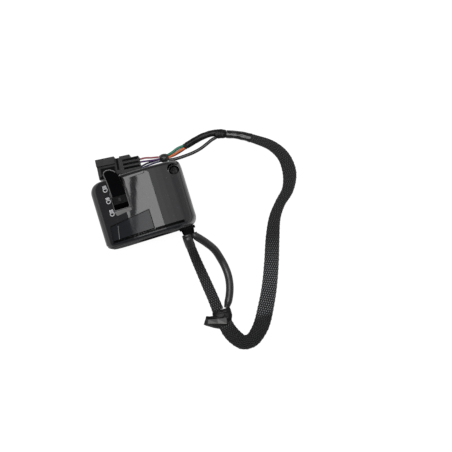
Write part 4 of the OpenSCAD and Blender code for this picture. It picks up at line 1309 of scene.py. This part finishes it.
@dataclass
class PaintedStrips:
    """Dark strips that paint shade along the sunk panel's edges, along the groove and on the plug; a strip
    of painted highlight on the panel's ridge; a grey strip nearly flush in the groove that hides its shade;
    and a strip of the panel's duller finish over the end's edge, as painted shade.
    """

    runs: Sequence[Run] = (
        # Painted shadow line along the panel's upper edge.
        Run("side_panel_moulding", (8.7, -24.6), (5.3, 3.4), 0.6),
        # Painted highlight along the panel's ridge.
        Run("side_panel_moulding", (9.7, -19.6), (18.6, -21.3), 0.4, 0.1, Finish.PANEL, 0.4),
        # Painted shadow lines along the panel's right and lower edges.
        Run("side_panel_moulding", (5.2, 3.6), (18.4, 3.6), 0.4),
        Run("side_panel_moulding", (19.05, -25.6), (18.6, 3.4), 0.9),
        # Painted shadow line along the groove, beside the panel and on to the grommet.
        Run("front_shell_moulding", (19.8, -26.3), (19.6, 4.0), 1.3),
        Run("front_shell_moulding", (19.3, 4.0), (19.2, 24.0), 1.8),
        # Grey strip nearly flush in the groove, hiding its shade; then a duller strip over the end's edge,
        # as painted shade.
        Run("front_shell_moulding", (20.7, -26.0), (20.7, 26.0), 0.8, 0.6, Finish.PANEL),
        Run("front_shell_moulding", (21.9, -20.0), (21.9, 22.0), 1.3, 0.06, Finish.PANEL),
        # Painted shade in the gaps between the plug's ribs and in two shaded places on its shell.
        Run("plug_rear_piece", (-33.1, -6.6), (-32.1, 4.6), 1.3, 0.1, Finish.LATCH),
        Run("plug_rear_piece", (-35.95, -6.4), (-34.95, 4.8), 1.3, 0.1, Finish.LATCH),
        Run("plug_rear_piece", (-30.25, -6.9), (-29.25, 4.4), 1.3, 0.1, Finish.LATCH),
        Run("plug_shell_piece", (-38.8, -9.9), (-30.5, -10.9), 1.6, 0.1, Finish.LATCH),
        Run("plug_shell_piece", (-28.2, -25.2), (-27.1, -12.4), 2.4, 0.1, Finish.LATCH))
    above: float = 40.0
    splits_along: int = 80
    splits_across: int = 14

    def build(self) -> None:
        """Lays every run."""
        for number, run in enumerate(self.runs):
            self.lay(number, run)

    def lay(self, number: int, run: Run) -> None:
        """Lays one run: a level strip above its piece, dropped onto it.

        Args:
            number: Which run it is.
            run: The run.
        """
        start = Vector((*run.start, self.above)) * MM
        end = Vector((*run.end, self.above)) * MM
        bpy.ops.object.select_all(action="DESELECT")
        bpy.ops.mesh.primitive_grid_add(
            x_subdivisions=self.splits_along, y_subdivisions=self.splits_across, size=1.0,
            location=(start + end) / 2)
        bead = bpy.context.view_layer.objects.active
        bead.scale = ((end - start).length, run.width * MM, 1.0)
        bead.rotation_euler.z = math.atan2(end.y - start.y, end.x - start.x)
        bead = Bench.named("seal_bead_%d" % number)
        Bench.project(bead, run.target, run.height * MM)
        # A strip can be painted lighter, as a painted highlight.
        Bench.mark(bead, "painted_highlight", [run.paint_light] * len(bead.data.polygons))
        Bench.seat(bead, HOUSING, run.finish)


@dataclass
class ContactSet:
    """Contact base, carriage and contacts inside the housing."""

    sharp: float = 45.0
    edge: float = 0.1 * MM
    fixed: dict[str, Finish] = field(default_factory=lambda: {
        "contact_base": Finish.BASE, "base_screws": Finish.STEEL, "fixed_contacts": Finish.BRASS,
        "pivot_pin": Finish.STEEL, "inner_leads": Finish.TUBE})
    sliding: dict[str, Finish] = field(default_factory=lambda: {
        "contact_carriage": Finish.CARRIAGE, "moving_contact": Finish.BRASS, "detent_ball": Finish.STEEL,
        "detent_spring": Finish.STEEL})

    def build(self) -> None:
        """Makes and dresses the fixed pieces and those that slide."""
        for body, pieces in ((HOUSING, self.fixed), (CARRIAGE, self.sliding)):
            for node, finish in pieces.items():
                piece = Bench.remould(node, "_piece", self.sharp, self.edge, 1)
                Bench.seat(piece, body, finish, node)


@dataclass
class Rocker:
    """Glossy thumb rocker with a raised rim round the free end of its dish; the rim is painted lighter as a
    highlight.
    """

    sharp: float = 38.0
    edge: float = 0.5 * MM
    edge_steps: int = 4
    crease: float = 20.0
    heel_from: float = -8.0 * MM
    heel_lift: float = 0.045 * MM
    heel_level: float = 0.02 * MM
    heel_far: float = 0.05 * MM
    rim_r: float = 0.3 * MM
    rim_highlight: float = 0.26
    rim_to: float = -11.0 * MM
    rim_side: float = -15.0 * MM
    tip_to: float = -24.0 * MM
    wall_rise: float = 0.35
    top_rise: float = 0.7

    def build(self) -> None:
        """Makes and dresses the paddle and its rim."""
        paddle = Bench.copy("rocker_paddle", "rocker_paddle_moulding")
        self.lift_heel(paddle)
        Bench.bevel(paddle, Bench.sharp(self.sharp), self.edge, self.edge_steps)
        Bench.smooth(paddle, self.crease)
        Bench.seat(paddle, ROCKER, Finish.ROCKER, "rocker_paddle")
        self.rim()

    def rim(self) -> None:
        """Makes the raised rim, as a round bead along the paddle's own edges, given the lighter shell
        plastic and painted lighter still, as a painted highlight.
        """
        source = Bench.copy("rocker_paddle", "rocker_rim")
        count = Bench.pick(source, self.on_rim)
        LOG.info("%d edges carry the rim", count)
        bpy.ops.mesh.select_all(action="INVERT")
        bpy.ops.mesh.delete(type="EDGE")
        bpy.ops.object.mode_set(mode="OBJECT")
        bpy.ops.object.convert(target="CURVE")
        line = bpy.context.view_layer.objects.active
        line.data.bevel_depth = self.rim_r
        line.data.bevel_resolution = 3
        bpy.ops.object.convert(target="MESH")
        rim = Bench.named("rocker_rim")
        Bench.smooth(rim, 60.0)
        # The rim bead is painted lighter as a highlight.
        Bench.mark(rim, "painted_highlight", [self.rim_highlight] * len(rim.data.polygons))
        Bench.seat(rim, ROCKER, Finish.SHELL)

    def on_rim(self, edge: bmesh.types.BMEdge) -> bool:
        """Tells whether an edge runs round the tip or the outer side, between the top and a wall.

        Args:
            edge: An edge of the paddle.

        Returns:
            Whether the rim follows it.
        """
        if len(edge.link_faces) != 2:
            return False
        wall, top = sorted(face.normal.z for face in edge.link_faces)
        middle = (edge.verts[0].co + edge.verts[1].co) / 2
        on_side = middle.x < self.rim_to and (middle.y < self.rim_side or middle.x < self.tip_to)
        return wall < self.wall_rise and top > self.top_rise and on_side

    def lift_heel(self, paddle: bpy.types.Object) -> None:
        """Lifts the far edge of the level heel a hair, as the moulding's draft does.

        Args:
            paddle: The paddle's copy.
        """
        behind = [v.co for v in paddle.data.vertices if v.co.x > self.heel_from]
        level = max(place.z for place in behind) - self.heel_level
        far = max(place.x for place in behind if place.z > level) - self.heel_far
        count = Bench.pick(paddle, lambda edge: all(v.co.z > level and v.co.x > far for v in edge.verts))
        LOG.info("%d edges of the heel are lifted", count)
        bpy.ops.transform.translate(value=(0.0, 0.0, self.heel_lift))
        bpy.ops.object.mode_set(mode="OBJECT")


@dataclass
class Plug:
    """Stepped plug with its ribbed rear, latch and pins."""

    sharp: float = 38.0
    edge: float = 0.18 * MM

    def build(self) -> list[bpy.types.Object]:
        """Makes and dresses the plug.

        Returns:
            Its pieces.
        """
        made = []
        for node, finish in (("plug_shell", Finish.PLUG), ("plug_rear", Finish.PLUG),
                             ("plug_latch", Finish.LATCH), ("plug_pins", Finish.BRASS)):
            piece = Bench.remould(node, "_piece", self.sharp, self.edge)
            made.append(Bench.seat(piece, HOUSING, finish, node))
        return made


@dataclass
class Signs:
    """Three printed headlamp signs beside the rocker: side light, dipped beam and main beam."""

    places: Sequence[tuple[float, float]] = ((-15.9, -21.0), (-7.8, -21.1), (0.9, -21.1))
    above: float = 40.0
    bulb_r: float = 1.6 * MM
    bulb_back: float = 0.9 * MM
    stroke: float = 0.46 * MM
    beams: int = 4
    beam_l: float = 1.7 * MM
    beam_gap: float = 0.7 * MM
    beam_back: float = 2.05 * MM
    dipped: int = 1
    dip: float = math.radians(20.0)
    ink: float = 0.05 * MM

    def build(self) -> None:
        """Prints the three signs on the face."""
        for number, (x, y) in enumerate(self.places):
            self.sign(number, Vector((x, y, self.above)) * MM)

    def sign(self, number: int, middle: Vector) -> None:
        """Prints one sign.

        Args:
            number: Which sign it is.
            middle: Its middle, above the face.
        """
        bpy.ops.object.select_all(action="DESELECT")
        bpy.ops.mesh.primitive_circle_add(vertices=48, radius=self.bulb_r, fill_type="NGON", location=middle)
        bulb = Bench.named("sign_%d_bulb" % number)
        bpy.ops.object.mode_set(mode="EDIT")
        bpy.ops.mesh.select_all(action="SELECT")
        back = middle - Vector((self.bulb_back, 0.0, 0.0))
        bpy.ops.mesh.bisect(plane_co=back, plane_no=(1.0, 0.0, 0.0), clear_inner=True, use_fill=False)
        bpy.ops.mesh.select_all(action="SELECT")
        bpy.ops.mesh.inset(thickness=self.stroke, depth=0.0)
        bpy.ops.mesh.delete(type="FACE")
        bpy.ops.object.mode_set(mode="OBJECT")
        beams = []
        for k in range(self.beams):
            shift = (k - (self.beams - 1) / 2) * self.beam_gap
            bpy.ops.object.select_all(action="DESELECT")
            place = middle + Vector((-self.beam_back, shift, 0.0))
            bpy.ops.mesh.primitive_plane_add(size=1.0, location=place)
            beam = bpy.context.view_layer.objects.active
            beam.scale = (self.beam_l, self.stroke, 1.0)
            beam.rotation_euler.z = self.dip if number == self.dipped else 0.0
            beams.append(Bench.named("sign_%d_line_%d" % (number, k)))
        Bench.only(bulb)
        for beam in beams:
            beam.select_set(True)
        bpy.ops.object.join()
        bpy.ops.object.mode_set(mode="EDIT")
        bpy.ops.mesh.select_all(action="SELECT")
        bpy.ops.mesh.subdivide(number_cuts=2)
        bpy.ops.object.mode_set(mode="OBJECT")
        Bench.project(bulb, "front_shell_moulding", self.ink)
        Bench.seat(bulb, HOUSING, Finish.INK)


@dataclass
class Stage:
    """White floor, soft lamps and the camera that looks down on the cluster."""

    target: Point = (29.18 * MM, 50.18 * MM, FLOOR_Z)
    distance: float = 0.7
    turn: float = math.radians(17.0)
    tilt: float = math.radians(2.5)
    lens: float = 78.05
    paper: float = 0.86
    paper_glow: float = 1.17
    shadow: float = 0.2
    sky_glow: float = 0.06
    lamp_turn: float = math.radians(12.0)
    lamp_z: float = 1.0
    sensor: float = 36.0
    lamps: Sequence[tuple[str, Span, Span, float]] = (
        ("key_lamp", (-0.123, 0.186), (-0.5, 0.335), 4.6),
        ("side_lamp", (-0.5, -0.159), (-0.45, 0.335), 4.6))
    cards: Sequence[tuple[str, float, float, float]] = (
        ("outer_card", -0.8, 0.25, 0.8), ("inner_card", 2.0, 1.0, 0.42))
    fade_across: Span = (-0.5, 0.5)
    fade: Sequence[tuple[float, float, float]] = (
        (0.345, 0.5, 1.0), (0.5, 0.7, 0.85), (0.7, 0.95, 0.7), (0.95, 1.3, 0.55), (1.3, 1.9, 0.4))

    def build(self) -> None:
        """Makes the floor, the lamps, the world and the camera."""
        scene = bpy.context.scene
        scene.view_settings.view_transform = "Standard"
        self.floor()
        self.sky()
        for lamp in self.lamps:
            self.lamp(*lamp)
        for near, far, glow in self.fade:
            self.lamp("bounce_lamp", self.fade_across, (near, far), glow)
        for card in self.cards:
            self.card(*card)
        self.camera()

    def floor(self) -> None:
        """Lays the floor, white to the eye but for the cluster's shadow."""
        bpy.ops.object.select_all(action="DESELECT")
        bpy.ops.mesh.primitive_plane_add(size=6.0, location=(0.0, 0.0, FLOOR_Z))
        floor = Bench.named("floor")
        board = Board("floor_paper")
        seen = board.node("LightPath", {}, {}, "Is Camera Ray")
        seen = seen + board.node("LightPath", {}, {}, "Is Transmission Ray")
        paper = board.node("BsdfDiffuse", {}, {"Color": [self.paper] * 3})
        glow = board.node("Emission", {}, {"Color": (1.0, 1.0, 1.0), "Strength": self.paper_glow})
        both = board.node("MixShader", {}, {0: seen * (1.0 - self.shadow), 1: paper, 2: glow})
        board.feed(board.output.inputs["Surface"], both)
        floor.data.materials.append(board.material)

    def sky(self) -> None:
        """Gives the world an even pale light."""
        world = bpy.data.worlds.new("studio")
        world.use_nodes = True
        back = world.node_tree.nodes["Background"]
        back.inputs["Color"].default_value = (1.0, 1.0, 1.0, 1.0)
        back.inputs["Strength"].default_value = self.sky_glow
        bpy.context.scene.world = world

    def lamp(self, name: str, across: Span, along: Span, glow: float) -> None:
        """Hangs one soft lamp level above the cluster, turned a little about the vertical.

        Args:
            name: Name of the lamp.
            across: Where its two long sides lie.
            along: Where its two short sides lie.
            glow: Its brightness, with white paper in plain light as 1.
        """
        light = bpy.data.lights.new(name, "AREA")
        light.shape = "RECTANGLE"
        light.size = across[1] - across[0]
        light.size_y = along[1] - along[0]
        light.energy = glow * math.pi * light.size * light.size_y
        middle = Vector((sum(across) / 2, sum(along) / 2, self.lamp_z))
        turned = Matrix.Rotation(self.lamp_turn, 4, "Z")
        lamp = bpy.data.objects.new(name, light)
        lamp.matrix_world = turned @ Matrix.Translation(middle)
        bpy.context.scene.collection.objects.link(lamp)

    @staticmethod
    def card(name: str, across: float, height: float, glow: float) -> None:
        """Stands a pale card beside the cluster, for its flank to mirror.

        Args:
            name: Name of the card.
            across: Where it stands, to the outer side when below 0.
            height: Its height above the floor.
            glow: Its brightness, with white paper in plain light as 1.
        """
        light = bpy.data.lights.new(name, "AREA")
        light.shape = "RECTANGLE"
        light.size = 2.0 * abs(across)
        light.size_y = height
        light.energy = glow * math.pi * light.size * light.size_y
        card = bpy.data.objects.new(name, light)
        facing = Matrix.Rotation(math.copysign(math.pi / 2, -across), 4, "X")
        card.matrix_world = Matrix.Translation((0.0, across, FLOOR_Z + height / 2)) @ facing
        bpy.context.scene.collection.objects.link(card)

    def camera(self) -> None:
        """Sets the camera where the photograph was taken from."""
        right = Vector((math.sin(self.turn), math.cos(self.turn), 0.0))
        level = Vector((-math.cos(self.turn), math.sin(self.turn), 0.0))
        down = Vector((0.0, 0.0, -1.0))
        ahead = level * math.sin(self.tilt) + down * math.cos(self.tilt)
        up = right.cross(ahead)
        basis = Matrix((right, up, -ahead)).transposed().to_4x4()
        basis.translation = Vector(self.target) - ahead * self.distance
        data = bpy.data.cameras.new("photo_camera")
        data.lens = self.lens
        data.sensor_width = self.sensor
        eye = bpy.data.objects.new("photo_camera", data)
        eye.matrix_world = basis
        bpy.context.scene.collection.objects.link(eye)
        bpy.context.scene.camera = eye


def main() -> None:
    """Builds every part of the cluster in order."""
    logging.basicConfig(level=logging.INFO, format="%(name)s: %(message)s")
    plug = Plug().build()
    Harness().build(plug)
    Housing().build()
    ContactSet().build()
    Rocker().build()
    PaintedStrips().build()
    Signs().build()
    Stage().build()


if __name__ == "__main__":
    main()
